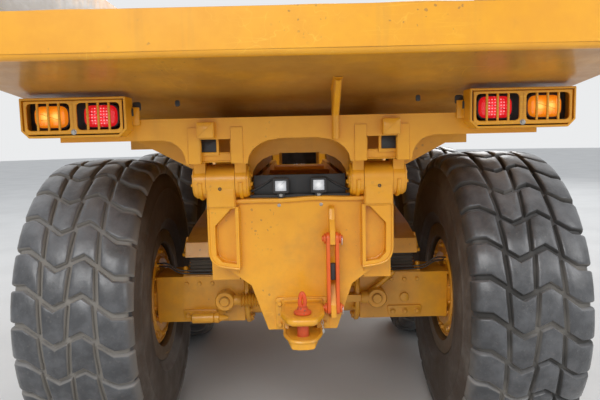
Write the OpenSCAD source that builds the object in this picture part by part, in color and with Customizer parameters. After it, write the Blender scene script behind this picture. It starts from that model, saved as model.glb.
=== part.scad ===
// Articulated dump truck with six driven wheels, in millimetres.
// X points right, Y points forward, Z points up. The origin lies on the ground under the
// middle of the machine. The front unit and the rear unit meet at a vertical kingpin.

/* [Layout] */
// Front axle to middle axle
wheelbase = 4180; // [4100:10:4500]
// Gap between the tyres of the middle and the rear axle
tyre_gap = 60; // [50:10:220]
// Front axle to the face of the bumper
front_overhang = 2700; // [2660:10:2900]
// Rear axle to the tail lip of the bed
rear_overhang = 1500; // [1400:10:1600]
// Distance between the left and the right wheel planes
track = 2160; // [2150:10:2260]
// Kingpin behind the front axle
pivot_back = 1350; // [1330:10:1450]
// Height of the oscillation axis
hitch_z = 1000; // [980:5:1020]

/* [Wheels] */
// Radius over the tread
tyre_r = 805; // [800:5:830]
// Width over the sidewalls
tyre_w = 600; // [580:5:620]
// Width of the tread
tread_w = 540; // [520:5:560]
// Depth of the tread lugs
lug_h = 34; // [20:1:40]
// Number of lugs round each half of the tread
lug_n = 28; // [24:1:32]
// Radius of the bead seat
seat_r = 317; // [310:1:322]
// Radius of the rim flange
flange_r = 382; // [375:1:390]
// Width between the rim flanges
rim_w = 500; // [490:5:510]
// Thickness of the rim
rim_t = 14; // [10:1:20]
// Radius of the hub drum
hub_r = 205; // [190:5:225]
// Length of the hub drum outside the wheel plane
hub_out = 215; // [200:5:230]
// Radius of the brake housing
brake_r = 290; // [270:5:295]
// Radius of the spindle
spindle_r = 100; // [85:5:110]

/* [Axles] */
// Radius of the axle tube
axle_r = 125; // [110:5:135]
// Radius of the differential housing
diff_r = 235; // [220:5:240]
// Radius of the propeller shaft
shaft_r = 50; // [40:5:60]

/* [Rear frame] */
// Distance of a frame beam from the middle
frame_x = 350; // [345:5:360]
// Width of a frame beam
frame_w = 127; // [120:1:130]
// Height of a frame beam
frame_h = 380; // [360:10:390]
// Top of the frame
frame_top = 1440; // [1435:5:1445]
// Radius of the oscillation journal
journal_r = 180; // [170:5:190]
// Wall of the oscillation housing
housing_wall = 110; // [90:5:115]
// Thickness of the tail plate
tail_t = 40; // [30:5:50]

/* [Bed] */
// Rear axle to the bed pivot
bed_pin_back = 750; // [740:5:800]
// Height of the bed pivot
bed_pin_z = 1520; // [1515:5:1525]
// Radius of the bed pivot pins
bed_pin_r = 40; // [35:1:45]
// Width of the bed shell at the top
bed_w = 2770; // [2700:10:2800]
// Width of the bed floor
bed_floor_w = 2000; // [1900:10:2100]
// Underside of the bed floor
bed_z = 1740; // [1735:5:1750]
// Height of the bend in the side wall
bed_knee_z = 2150; // [2100:10:2200]
// Top of the side walls
bed_top_z = 2720; // [2650:10:2760]
// Top of the headboard
bed_head_z = 2950; // [2900:10:3000]
// Thickness of the bed plates
bed_t = 25; // [20:1:30]
// Depth of the ribs outside the bed walls
rib_d = 40; // [30:5:50]
// Number of upright ribs on a side wall
rib_n = 7; // [5:1:9]
// Underside of the tail lip
lip_z = 1990; // [1970:5:2010]
// Height of the tail lip
lip_h = 135; // [120:5:150]

/* [Cab] */
// Width of the cab
cab_w = 1600; // [1560:10:1640]
// Rear wall of the cab, ahead of the kingpin
cab_gap = 355; // [350:5:400]
// Length of the cab
cab_l = 1600; // [1580:10:1640]
// Underside of the cab
cab_z = 1760; // [1755:5:1770]
// Height of the cab shell
cab_h = 1610; // [1580:10:1640]
// Thickness of the cab walls
cab_t = 60; // [50:5:70]
// Thickness of the glass
glass_t = 8; // [6:1:10]

/* [Bonnet] */
// Width of the bonnet
hood_w = 1240; // [1200:10:1260]
// Underside of the bonnet, where it is hinged
hood_z = 1130; // [1120:5:1150]
// Top of the bonnet at its front
hood_front_z = 2020; // [1950:10:2100]
// Top of the bonnet at its rear
hood_rear_z = 2380; // [2300:10:2420]
// Thickness of the bonnet
hood_t = 30; // [25:1:40]

/* [Hidden] */
$fn = 64;
// Clearance of turning fits, and of parts that rest on each other
fit = 0.3;

// Places along the machine
bogie_base = 2 * tyre_r + tyre_gap;
total_l =front_overhang + wheelbase + bogie_base + rear_overhang;
nose_y = total_l / 2;
tail_y = -total_l / 2;
front_y = nose_y - front_overhang;
mid_y = front_y - wheelbase;
rear_y = mid_y - bogie_base;
pivot_y = front_y - pivot_back;
wheel_x = track / 2;
wheel_z = tyre_r;
bed_pin_y = rear_y - bed_pin_back;

// Pitch of the lugs along the tread
tread_pitch = 2 * PI * tyre_r / lug_n;

// Rear frame
frame_z = frame_top - frame_h;
beam_in = frame_x - frame_w / 2;
beam_out = frame_x + frame_w / 2;
tail_face = bed_pin_y - 20;
housing_r = journal_r + housing_wall;
housing_y = [pivot_y - 735, pivot_y - 440];

// Bed
bed_front_y = pivot_y - 550;
bed_foot_y = pivot_y - 1125;
chute_y = rear_y + 125;
ear_t = 50;
ear_r = 75;
ear_in = frame_x - frame_w / 2 - ear_t - 1;
ear_out = frame_x + frame_w / 2 + ear_t + 1;

// Tipping cylinders: foot on the frame, eye under the bed, as [y, z] beside x
tip_x = 540;
tip_foot = [mid_y + 705, frame_z + 20];
tip_eye = [bed_pin_y + 1250, bed_pin_z + 120];
tip_r = 75;
tip_rod_r = 42;
tip_eye_r = 62;
tip_eye_w = 88;
tip_pin_r = 30;
tip_rod_start = 140;
tip_barrel_l = tip_rod_start + 1390;
tip_rest_l = norm(tip_eye - tip_foot);
tip_angle = atan2(tip_eye[1] - tip_foot[1], tip_foot[0] - tip_eye[0]);

// Steering cylinders: foot on the front frame, eye on the yoke, as [x, y] at height steer_z
steer_foot = [520, pivot_y + 880];
steer_eye = [300, pivot_y - 220];
steer_z = hitch_z - 180;
steer_r = 50;
steer_rod_r = 28;
steer_eye_r = 45;
steer_eye_w = 60;
steer_pin_r = 22;
steer_barrel_l = 690;
steer_rod_start = 350;
// Travel of a steering rod from straight ahead
steer_stroke = 247;
steer_rest_l = norm(steer_eye - steer_foot);
steer_angle = atan2(steer_foot[0] - steer_eye[0], steer_foot[1] - steer_eye[1]);

// Cab
cab_y = [pivot_y + cab_gap, pivot_y + cab_gap + cab_l];
cab_top = cab_z + cab_h;
cab_mount_y = [cab_y[0] + 80, cab_y[1] - 200];
door_y = [cab_y[0] + 370, cab_y[0] + 1290];
door_z = [cab_z + 70, cab_top - 110];
door_gap = 5;
door_pin = [-cab_w / 2 - 15, door_y[0] - 15];
door_pin_r = 8;
door_knuckle_r = 14;
door_knuckle_z = [door_z[0] + 150, door_z[1] - 270];

// Bonnet
hood_y = [cab_y[1] + 25, nose_y - 65];
hood_pin = [hood_y[1] - 60, hood_z];
hood_pin_r = 16;

// Plain helpers

// Block between two corners
module block(x, y, z) {
    translate([x[0], y[0], z[0]])
        cube([x[1] - x[0], y[1] - y[0], z[1] - z[0]]);
}

// Round bar along X
module bar_x(r, x, y, z) {
    translate([x[0], y, z])
        rotate([0, 90, 0])
            cylinder(r = r, h = x[1] - x[0]);
}

// Round bar along Y
module bar_y(r, x, y, z) {
    translate([x, y[1], z])
        rotate([90, 0, 0])
            cylinder(r = r, h = y[1] - y[0]);
}

// Round bar along Z
module bar_z(r, x, y, z) {
    translate([x, y, z[0]])
        cylinder(r = r, h = z[1] - z[0]);
}

// Plate with its outline in the Y-Z plane, between two places along X
module plate_x(outline, x) {
    translate([x[0], 0, 0])
        rotate([90, 0, 90])
            linear_extrude(x[1] - x[0])
                polygon(outline);
}

// Plate with its outline in the X-Z plane, between two places along Y
module plate_y(outline, y) {
    translate([0, y[1], 0])
        rotate([90, 0, 0])
            linear_extrude(y[1] - y[0])
                polygon(outline);
}

// Plate with its outline in the X-Y plane, between two heights
module plate_z(outline, z) {
    translate([0, 0, z[0]])
        linear_extrude(z[1] - z[0])
            polygon(outline);
}

// The children and their mirror image on the other side
module both_sides() {
    children();
    mirror([1, 0, 0]) children();
}

// Wheels

// Half of the casing's outer line, as [radius, distance from the wheel plane]
function casing_outer() = [
    [seat_r + fit, rim_w / 2 - 1],
    [flange_r + fit, rim_w / 2 - 1],
    [flange_r + 4, rim_w / 2 + rim_t],
    [flange_r + 20, tyre_w / 2 - 28],
    [seat_r + 130, tyre_w / 2 - 8],
    [seat_r + 220, tyre_w / 2],
    [tyre_r - 170, tyre_w / 2 - 4],
    [tyre_r - 70, tread_w / 2 + 8],
    [tyre_r - lug_h - 20, tread_w / 2 - 4],
    [tyre_r - lug_h - 4, tread_w / 2 - 60],
    [tyre_r - lug_h, tread_w / 4],
];

// Half of the casing's inner line
function casing_inner() = [
    [tyre_r - lug_h - 50, tread_w / 4],
    [tyre_r - lug_h - 54, tread_w / 2 - 60],
    [tyre_r - 120, tread_w / 2 - 25],
    [tyre_r - 180, tyre_w / 2 - 38],
    [seat_r + 220, tyre_w / 2 - 34],
    [flange_r + 20, tyre_w / 2 - 70],
    [seat_r + fit, rim_w / 2 - 46],
];

function flip(points) = [for (i = [len(points) - 1 : -1 : 0]) [points[i][0], -points[i][1]]];

// Lug over half of the tread, slanted, as [along the tread, across the tread]
module tyre_lug() {
    long = tread_pitch * 0.36;
    slant = tread_pitch * 0.22;
    root = tyre_r - lug_h - 30;
    top = sqrt(tyre_r * tyre_r - (long + slant) * (long + slant));
    translate([root, 0, 0])
        rotate([0, 90, 0])
            linear_extrude(top - root)
                polygon([
                    [-12, -long], [-12, long],
                    [12 - tread_w / 4, long + slant], [10 - tread_w / 2, long],
                    [10 - tread_w / 2, -long], [12 - tread_w / 4, slant - long],
                ]);
}

module tyre_shape() {
    rotate_extrude()
        polygon(concat(casing_outer(), flip(casing_outer()), flip(casing_inner()), casing_inner()));
    for (i = [0 : lug_n - 1]) {
        rotate([0, 0, i * 360 / lug_n])
            tyre_lug();
        rotate([0, 0, (i + 0.5) * 360 / lug_n])
            mirror([0, 0, 1]) tyre_lug();
    }
}

// Rim with its disc and hub drum: local Z points outward from the machine
module rim_shape() {
    disc_z = 40;
    lip = rim_w / 2;
    rotate_extrude()
        polygon([
            [spindle_r + fit, 10],
            [hub_r, 10],
            [hub_r, disc_z],
            [seat_r - rim_t, disc_z],
            [seat_r - rim_t, -lip],
            [seat_r - rim_t + 5, -lip - rim_t],
            [flange_r, -lip - rim_t],
            [flange_r, -lip],
            [seat_r, -lip],
            [seat_r, lip],
            [flange_r, lip],
            [flange_r, lip + rim_t],
            [seat_r - rim_t + 5, lip + rim_t],
            [seat_r - rim_t, lip],
            [seat_r - rim_t, disc_z + 24],
            [hub_r, disc_z + 24],
            [hub_r, hub_out - 40],
            [hub_r - 30, hub_out - 10],
            [hub_r - 90, hub_out],
            [0, hub_out],
            [0, 76],
            [spindle_r + fit, 76],
        ]);
}

// A wheel's part at its place: side is -1 on the left and 1 on the right
module at_wheel(side, y) {
    translate([side * wheel_x, y, wheel_z])
        rotate([0, 90 * side, 0])
            children();
}

module tyre(side, y) {
    color([0.15, 0.15, 0.16])
        at_wheel(side, y) tyre_shape();
}

module rim(side, y) {
    color([0.85, 0.6, 0.1])
        at_wheel(side, y) rim_shape();
}

// Axles

// Axle across the machine, its differential nose pointing forward or backward
module axle(y, nose) {
    face = wheel_x - rim_w / 2 + 18;
    translate([0, y, wheel_z]) {
        both_sides() {
            bar_x(axle_r, [0, face], 0, 0);
            block([330, face - 18], [-axle_r - 5, axle_r + 5], [-axle_r - 10, axle_r + 3]);
            bar_x(brake_r, [face, face + 90], 0, 0);
            bar_x(spindle_r, [face + 90, wheel_x + 74], 0, 0);
        }
        sphere(r = diff_r);
        bar_y(axle_r, 0, [min(0, nose), max(0, nose)], 0);
    }
}

// Seats of the rubber blocks on a bogie axle
block_x = [500, 660];
block_z = [wheel_z + axle_r + 10 + fit, wheel_z + axle_r + 115];

module axle_saddles(y) {
    both_sides()
        block([block_x[0] - 10, block_x[1] + 20], [y - 110, y + 110], [wheel_z, block_z[0] - fit]);
}

// Rod across the back of an axle
module cross_rod(y) {
    rod_x = [-435, 420];
    rod_y = y - axle_r - 55;
    for (x = rod_x)
        bar_y(50, x, [rod_y - 22, y - axle_r + 20], wheel_z);
    block(rod_x, [rod_y - 20, rod_y + 20], [wheel_z - 20, wheel_z + 20]);
}

module bogie_axles() {
    color([0.82, 0.58, 0.1]) {
        axle(mid_y, 430);
        axle(rear_y, 430);
        axle_saddles(mid_y);
        axle_saddles(rear_y);
        cross_rod(rear_y);
        bar_y(shaft_r, 0, [rear_y + 430, mid_y - diff_r + 10], wheel_z);
    }
}

module front_axle() {
    strut_x = 560;
    color([0.82, 0.58, 0.1]) {
        axle(front_y, -430);
        both_sides() {
            bar_z(58, strut_x, front_y, [wheel_z + 60, hitch_z + 260]);
            bar_z(80, strut_x, front_y, [wheel_z + 60, wheel_z + 200]);
        }
    }
}

// Bogie

module walking_beams() {
    base = block_z[1];
    mid = (mid_y + rear_y) / 2;
    half = bogie_base / 2;
    color([0.85, 0.6, 0.1])
        both_sides() {
            difference() {
                plate_x([
                    [mid - half - 130, base], [mid - half + 130, base],
                    [mid - 160, base - 70], [mid + 160, base - 70],
                    [mid + half - 130, base], [mid + half + 130, base],
                    [mid + half + 100, base + 80], [mid + half - 150, base + 130],
                    [mid + 120, base + 190], [mid - 120, base + 190],
                    [mid - half + 150, base + 130], [mid - half - 100, base + 80],
                ], block_x);
                bar_x(70, [block_x[0] - 10, block_x[1] + 10], mid, base + 50);
            }
            bar_x(70 - fit, [beam_out, block_x[1] + 25], mid, base + 50);
        }
}

module rubber_blocks() {
    layers = 4;
    step = (block_z[1] - fit - block_z[0]) / layers;
    color([0.12, 0.12, 0.12])
        for (y = [mid_y, rear_y])
            both_sides()
                for (i = [0 : layers - 1]) {
                    block([block_x[0] + 8, block_x[1] - 8], [y - 82, y + 82],
                        [block_z[0] + i * step, block_z[0] + (i + 0.4) * step]);
                    block([block_x[0] + 14, block_x[1] - 14], [y - 76, y + 76],
                        [block_z[0] + (i + 0.4) * step, block_z[0] + (i + 1) * step]);
                }
}

// Rear frame

module rear_frame() {
    z = [frame_z, frame_top];
    color([0.85, 0.6, 0.1])
        difference() {
            union() {
                both_sides() {
                    plate_x([
                        [tail_face + tail_t, z[0]], [housing_y[1], z[0]],
                        [housing_y[1], z[1] - 60], [housing_y[1] - 300, z[1]],
                        [tail_face + tail_t, z[1]],
                    ], [beam_in, beam_out]);
                    plate_x([
                        [housing_y[0], hitch_z - housing_r + 20], [housing_y[1], hitch_z - housing_r + 20],
                        [housing_y[1], z[0]], [housing_y[0] - 700, z[0]],
                    ], [beam_in, beam_in + 30]);
                    // Foot brackets of the tipping cylinders
                    for (x = [tip_x - 70, tip_x + 45])
                        tip_foot_cheek([x, x + 25]);
                    block([beam_out, tip_x - 45], [tip_foot[0] - 60, tip_foot[0] + 60],
                        [tip_foot[1] - 60, tip_foot[1] + 60]);
                    bar_x(tip_pin_r, [tip_x - 60, tip_x + 60], tip_foot[0], tip_foot[1]);
                }
                block([-beam_in - 20, beam_in + 20], housing_y, [hitch_z - housing_r, hitch_z + housing_r]);
                for (y = [housing_y[0] - 420, mid_y + 600, (mid_y + rear_y) / 2, rear_y - 450])
                    bar_x(90, [-beam_in, beam_in], y, frame_top - 130);
            }
            bar_y(journal_r + fit, 0, [housing_y[0] - 20, housing_y[1] + 20], hitch_z);
        }
}

module tip_foot_cheek(x) {
    y = tip_foot[0];
    z = tip_foot[1];
    plate_x([
        [y + 90, z - 90], [y + 90, z + 70], [y + 30, z + 90],
        [y - 70, z + 60], [y - 70, z - 60], [y - 20, z - 90],
    ], x);
}

// Tail plate with the two posts that carry the bed
module tail_plate() {
    y = [tail_face, tail_face + tail_t];
    waist_z = 1130;
    foot_z = 830;
    flange_y = [y[0] - 45, y[0]];
    color([0.85, 0.6, 0.1]) {
        difference() {
            union() {
                plate_y([
                    [-beam_out, frame_top], [-beam_out, waist_z + 60], [-beam_out + 90, waist_z - 20],
                    [-230, waist_z - 90], [-158, foot_z], [158, foot_z], [230, waist_z - 90],
                    [beam_out - 90, waist_z - 20], [beam_out, waist_z + 60], [beam_out, frame_top],
                ], y);
                both_sides() {
                    // Post with a round head and its cap
                    block([beam_in, beam_out], [y[0] - 45, y[1]], [frame_top - 33, bed_pin_z]);
                    block([beam_in, beam_out], [y[0], y[1] + 75], [frame_top, bed_pin_z]);
                    bar_x(78, [beam_in, beam_out], bed_pin_y, bed_pin_z);
                    // Flange round the side pocket, and the rib beside it
                    plate_y([
                        [beam_out, frame_top - 33], [beam_out, waist_z + 70], [beam_out - 12, waist_z + 34],
                        [beam_out - 42, waist_z + 8], [beam_in - 12, waist_z - 6], [beam_in - 12, waist_z + 18],
                        [beam_out - 62, waist_z + 30], [beam_out - 34, waist_z + 60], [beam_out - 32, frame_top - 115],
                        [beam_in + 18, frame_top - 33],
                    ], flange_y);
                    block([beam_in - 12, beam_in + 4], flange_y, [waist_z - 2, frame_top - 30]);
                }
            }
            bar_x(bed_pin_r + fit, [-beam_out - 10, beam_out + 10], bed_pin_y, bed_pin_z);
        }
        // Plates that hold the prop strut
        for (z = [[prop_z[1] - 45, prop_z[1] + 135], [prop_z[0] - 60, prop_z[0] + 118]])
            difference() {
                plate_x([
                    [y[0], z[0]], [prop_y - 24, z[0] + 20], [prop_y - 24, z[1] - 100], [y[0] - 22, z[1]], [y[0], z[1]],
                ], [prop_x - 11.7, prop_x + 11.7]);
                for (pin = prop_z)
                    bar_x(14, [prop_x - 12, prop_x + 12], prop_y, pin);
            }
    }
}

hitch_face = tail_face - 30;
hitch_pin_y = hitch_face - 165;
jaw_z = [826, 868, 928, 963];
jaw_w = 160;
hitch_pin_r = 25;

module tow_hitch() {
    color([0.85, 0.6, 0.1])
        difference() {
            union() {
                block([-92, 92], [hitch_face, tail_face], [838, 978]);
                // Upper jaw
                plate_z([
                    [-jaw_w / 2, hitch_face], [-jaw_w / 2, hitch_pin_y + 30], [-45, hitch_pin_y - 62],
                    [45, hitch_pin_y - 62], [jaw_w / 2, hitch_pin_y + 30], [jaw_w / 2, hitch_face],
                ], [jaw_z[2], jaw_z[3]]);
                // Lower jaw, narrower below
                intersection() {
                    plate_y([
                        [-jaw_w / 2, jaw_z[1]], [-46, jaw_z[0]], [46, jaw_z[0]], [jaw_w / 2, jaw_z[1]],
                    ], [hitch_pin_y - 70, hitch_face]);
                    plate_z([
                        [-jaw_w / 2, hitch_face], [-jaw_w / 2, hitch_pin_y + 20], [-50, hitch_pin_y - 52],
                        [-20, hitch_pin_y - 65], [20, hitch_pin_y - 65], [50, hitch_pin_y - 52],
                        [jaw_w / 2, hitch_pin_y + 20], [jaw_w / 2, hitch_face],
                    ], [jaw_z[0], jaw_z[1]]);
                }
                // Cheeks of the throat
                both_sides()
                    plate_x([
                        [hitch_face, jaw_z[1]], [hitch_face - 75, jaw_z[1]],
                        [hitch_face - 50, jaw_z[2]], [hitch_face, jaw_z[2]],
                    ], [jaw_w / 2 - 18, jaw_w / 2]);
            }
            bar_z(hitch_pin_r + fit, 0, hitch_pin_y, [jaw_z[0] - 10, jaw_z[3] + 10]);
        }
}

module hitch_pin() {
    color([0.85, 0.3, 0.1]) {
        bar_z(hitch_pin_r, 0, hitch_pin_y, [jaw_z[0] - 14, jaw_z[3] + 25]);
        bar_z(38, 0, hitch_pin_y, [jaw_z[3], jaw_z[3] + 14]);
        difference() {
            bar_y(38, 0, [hitch_pin_y - 8, hitch_pin_y + 8], jaw_z[3] + 62);
            bar_y(24, 0, [hitch_pin_y - 9, hitch_pin_y + 9], jaw_z[3] + 62);
        }
    }
}

// Prop strut stowed on the tail plate
prop_x = 140;
prop_y = tail_face - 60;
prop_z = [945, 1262];

module prop_strut() {
    color([0.85, 0.3, 0.1]) {
        for (x = [prop_x - 28, prop_x + 12])
            difference() {
                hull() {
                    bar_x(28, [x, x + 16], prop_y, prop_z[0]);
                    bar_x(28, [x, x + 16], prop_y, prop_z[1]);
                }
                for (z = prop_z)
                    bar_x(14, [x - 1, x + 17], prop_y, z);
            }
        for (z = prop_z)
            bar_x(14 - fit, [prop_x - 48, prop_x + 48], prop_y, z);
    }
}

module work_lamps() {
    z = [frame_top + 22, frame_top + 92];
    y = tail_face + 4;
    color([0.1, 0.1, 0.1]) {
        block([10 - ear_in, ear_in - 10], [y, y + 25], [frame_top, frame_top + 22]);
        both_sides()
            block([48, 122], [y - 18, y + 25], z);
    }
    color([0.95, 0.95, 0.95])
        both_sides()
            block([54, 116], [y - 24, y - 18], [z[0] + 6, z[1] - 6]);
}

// Hitch yoke: vertical sleeve on the kingpin, oscillation journal behind it

king_r = 60;
sleeve_r = 140;
sleeve_z = [hitch_z - 285, hitch_z + 285];

module hitch_yoke() {
    neck = [housing_y[1] + 5, pivot_y - 60];
    color([0.8, 0.56, 0.1])
        difference() {
            union() {
                bar_z(sleeve_r, 0, pivot_y, sleeve_z);
                block([-115, 115], neck, [steer_z - 57, hitch_z + 200]);
                bar_y(journal_r + 60, 0, [housing_y[1] + 5, housing_y[1] + 45], hitch_z);
                bar_y(journal_r, 0, [housing_y[0] - 5, housing_y[1] + 5], hitch_z);
                bar_y(journal_r + 50, 0, [housing_y[0] - 40, housing_y[0] - 5], hitch_z);
                // Ears for the rods of the steering cylinders
                both_sides()
                    for (z = [steer_z + 32, steer_z - 57]) {
                        block([100, steer_eye[0]], [steer_eye[1] - 60, steer_eye[1] + 60], [z, z + 25]);
                        bar_z(60, steer_eye[0], steer_eye[1], [z, z + 25]);
                    }
            }
            bar_z(king_r + fit, 0, pivot_y, [sleeve_z[0] - 10, sleeve_z[1] + 10]);
        }
}

// Front frame

rail_x = [285, 375];
rail_z = [945, 1125];
hinge_box_x = 250;

module front_frame() {
    plates = [[sleeve_z[0] - 45, sleeve_z[0] - 2], [sleeve_z[1] + 2, sleeve_z[1] + 45]];
    box_y = [pivot_y + 330, pivot_y + 460];
    color([0.82, 0.58, 0.1]) {
        both_sides() {
            block(rail_x, [box_y[0], nose_y - 175], rail_z);
            // Foot brackets of the steering cylinders
            for (z = [steer_z + 32, steer_z - 57]) {
                block([rail_x[0], steer_foot[0]], [steer_foot[1] - 50, steer_foot[1] + 70], [z, z + 25]);
                bar_z(50, steer_foot[0], steer_foot[1], [z, z + 25]);
            }
            block(rail_x, [steer_foot[1] - 50, steer_foot[1] + 70], [steer_z - 57, rail_z[0]]);
            bar_z(steer_pin_r, steer_foot[0], steer_foot[1], [steer_z - 62, steer_z + 62]);
        }
        for (z = plates)
            plate_z([
                [-160, pivot_y - 60], [160, pivot_y - 60], [hinge_box_x, box_y[0]], [hinge_box_x, box_y[1]],
                [-hinge_box_x, box_y[1]], [-hinge_box_x, box_y[0]],
            ], z);
        block([-hinge_box_x, hinge_box_x], box_y, [plates[0][0], plates[1][1]]);
        both_sides()
            block([hinge_box_x, rail_x[1]], box_y, rail_z);
        bar_z(king_r, 0, pivot_y, [plates[0][0] - 10, plates[1][1] + 15]);
        for (y = [front_y + 560, front_y + 1500, nose_y - 320])
            block([-rail_x[0], rail_x[0]], [y, y + 120], [rail_z[0] + 20, rail_z[1] - 20]);
        // Strut towers over the front axle
        both_sides() {
            block([rail_x[1], 640], [front_y - 90, front_y + 90], [hitch_z + 260, hitch_z + 330]);
            block([rail_x[0], rail_x[1]], [front_y - 90, front_y + 90], [rail_z[1], hitch_z + 330]);
        }
        // Lugs of the bonnet hinge
        both_sides()
            difference() {
                union() {
                    plate_x([
                        [hood_pin[0] - 130, rail_z[0] + 100], [hood_pin[0] - 130, hood_pin[1] - 20],
                        [hood_pin[0] - 10, hood_pin[1] + 22], [hood_pin[0] + 5, hood_pin[1] - 23],
                        [hood_pin[0] - 55, hood_pin[1] - 65], [hood_pin[0] - 55, rail_z[0] + 100],
                    ], [rail_x[1], rail_x[1] + 50]);
                    bar_x(24, [rail_x[1], rail_x[1] + 50], hood_pin[0], hood_pin[1]);
                }
                bar_x(hood_pin_r + fit, [rail_x[1] - 1, rail_x[1] + 51], hood_pin[0], hood_pin[1]);
            }
        // Cab mounts
        both_sides()
            for (y = cab_mount_y)
                block(rail_x, [y, y + 120], [rail_z[1], cab_z]);
    }
}

module engine() {
    color([0.35, 0.35, 0.33])
        block([-rail_x[0] - 20, rail_x[0] + 20], [hood_y[0] + 230, hood_y[1] - 420],
            [rail_z[1], hood_front_z - 90]);
}

module radiator() {
    color([0.15, 0.15, 0.15])
        block([-480, 480], [hood_y[1] - 330, hood_y[1] - 190], [rail_z[1], hood_front_z - 110]);
}

// Towing lugs under the bumper
tow_lug_x = 420;
tow_hole = [nose_y - 85, 545];
tow_hole_r = 32;

module bumper() {
    y = [nose_y - 175, nose_y];
    color([0.12, 0.12, 0.12])
        difference() {
            plate_z([
                [-1340, y[0]], [-1340, y[1] - 130], [-1180, y[1]], [1180, y[1]],
                [1340, y[1] - 130], [1340, y[0]],
            ], [620, hood_z - 80]);
            both_sides()
                block([800, 1080], [y[1] - 60, y[1] + 1], [850, 1010]);
        }
    color([0.12, 0.12, 0.12])
        both_sides()
            difference() {
                plate_x([
                    [tow_hole[0] - 90, 620], [tow_hole[0] - 75, tow_hole[1] - 45], [tow_hole[0] - 40, tow_hole[1] - 75],
                    [tow_hole[0] + 40, tow_hole[1] - 75], [tow_hole[0] + 75, tow_hole[1] - 45], [tow_hole[0] + 75, 620],
                ], [tow_lug_x, tow_lug_x + 45]);
                bar_x(tow_hole_r, [tow_lug_x - 1, tow_lug_x + 46], tow_hole[0], tow_hole[1]);
            }
}

module headlamps() {
    color([0.9, 0.9, 0.92])
        both_sides()
            block([806, 1074], [nose_y - 60, nose_y - 15], [856, 1004]);
}

// Mudguards over the front wheels, on arms from the frame
guard_gap = 75;
guard_t = 35;
guard_arc = [20, 118];

// Point of a mudguard's arc: 0 degrees points backward and 90 degrees points up
function guard_point(r, a) = [front_y - r * cos(a), wheel_z + r * sin(a)];

module mudguards() {
    r = tyre_r + guard_gap;
    x = [wheel_x - tyre_w / 2 - 10, wheel_x + tyre_w / 2 + 10];
    steps = 12;
    step = (guard_arc[1] - guard_arc[0]) / steps;
    arc = [for (i = [0 : steps]) guard_arc[0] + i * step];
    color([0.85, 0.6, 0.1])
        both_sides() {
            plate_x(concat(
                [for (a = arc) guard_point(r + guard_t, a)],
                [for (i = [steps : -1 : 0]) guard_point(r, arc[i])]), x);
            block([rail_x[1], x[0]], [cab_mount_y[0] + 30, cab_mount_y[0] + 120], [wheel_z + 345, wheel_z + 380]);
            block([rail_x[1], x[0]], [cab_mount_y[1] + 10, cab_mount_y[1] + 100], [wheel_z + 775, wheel_z + 810]);
        }
}

tank_z = [760, 1560];

module side_tanks() {
    x = [hood_w / 2 + 80, wheel_x + 250];
    y = [front_y + tyre_r + 150, nose_y - 260];
    color([0.85, 0.6, 0.1])
        both_sides() {
            plate_y([
                [x[0], tank_z[0]], [x[1] - 120, tank_z[0]], [x[1], tank_z[0] + 110], [x[1], tank_z[1] - 50],
                [x[1] - 50, tank_z[1]], [x[0], tank_z[1]],
            ], y);
            for (yy = [y[0] + 150, y[1] - 350])
                block([rail_x[1], x[0]], [yy, yy + 90], [rail_z[0] + 30, rail_z[1] - 40]);
        }
}

module steps() {
    x = [wheel_x + 250, wheel_x + 335];
    y = [front_y + tyre_r + 200, front_y + tyre_r + 700];
    color([0.12, 0.12, 0.12])
        both_sides() {
            for (i = [0 : 3])
                block([x[0], x[1]], y, [480 + i * 340, 510 + i * 340]);
            for (yy = [y[0] - 20, y[1]])
                block([x[0], x[1]], [yy, yy + 20], [480, 1500]);
            // Handrail on the deck
            for (yy = [y[0] + 30, y[1] - 30])
                bar_z(17, x[0] - 70, yy, [tank_z[1], tank_z[1] + 850]);
            bar_y(17, x[0] - 70, [y[0] + 30, y[1] - 30], tank_z[1] + 850);
        }
}

module exhaust() {
    x = hood_w / 2 + 120;
    y = front_y + tyre_r + 75;
    color([0.3, 0.3, 0.3]) {
        bar_z(75, x, y, [1560, 2500]);
        bar_z(45, x, y, [2500, 3100]);
    }
}

module mirrors() {
    y = cab_y[1] - 190;
    z = [cab_z + 590, cab_z + 1220];
    color([0.12, 0.12, 0.12])
        both_sides() {
            bar_x(16, [cab_w / 2, 1330], y, z[1] - 20);
            block([1180, 1440], [y - 45, y + 45], z);
        }
}

// Cab

// Side outline of the cab, moved inward by inset
function cab_side(inset) = [
    [cab_y[0] + inset, cab_z + inset],
    [cab_y[0] + inset, cab_top - 120 - inset / 2],
    [cab_y[0] + 90 + inset / 2, cab_top - inset],
    [cab_y[1] - 250 - inset / 2, cab_top - inset],
    [cab_y[1] - inset, cab_z + 800],
    [cab_y[1] - inset, cab_z + inset],
];

module cab_solid(inset) {
    plate_x(cab_side(inset), [-cab_w / 2 + inset, cab_w / 2 - inset]);
}

// Window openings, shrunk by inset
module cab_windows(inset) {
    z = [cab_z + 760 + inset, cab_top - 130 - inset];
    // Rear window
    block([-cab_w / 2 + 140 + inset, cab_w / 2 - 140 - inset], [cab_y[0] - 50, cab_y[0] + 150], z);
    // Windscreen
    block([-cab_w / 2 + 90 + inset, cab_w / 2 - 90 - inset], [cab_y[1] - 420, cab_y[1] + 50],
        [cab_z + 520 + inset, cab_top - 130 - inset]);
    // Right side windows
    block([cab_w / 2 - 100, cab_w / 2 + 50], [cab_y[0] + 130 + inset, door_y[0] - 60 - inset], z);
    block([cab_w / 2 - 100, cab_w / 2 + 50], [door_y[0] + inset, cab_y[1] - 330 - inset],
        [cab_z + 560 + inset, z[1]]);
    // Left rear side window
    block([-cab_w / 2 - 50, -cab_w / 2 + 100], [cab_y[0] + 130 + inset, door_y[0] - 90 - inset], z);
}

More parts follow.
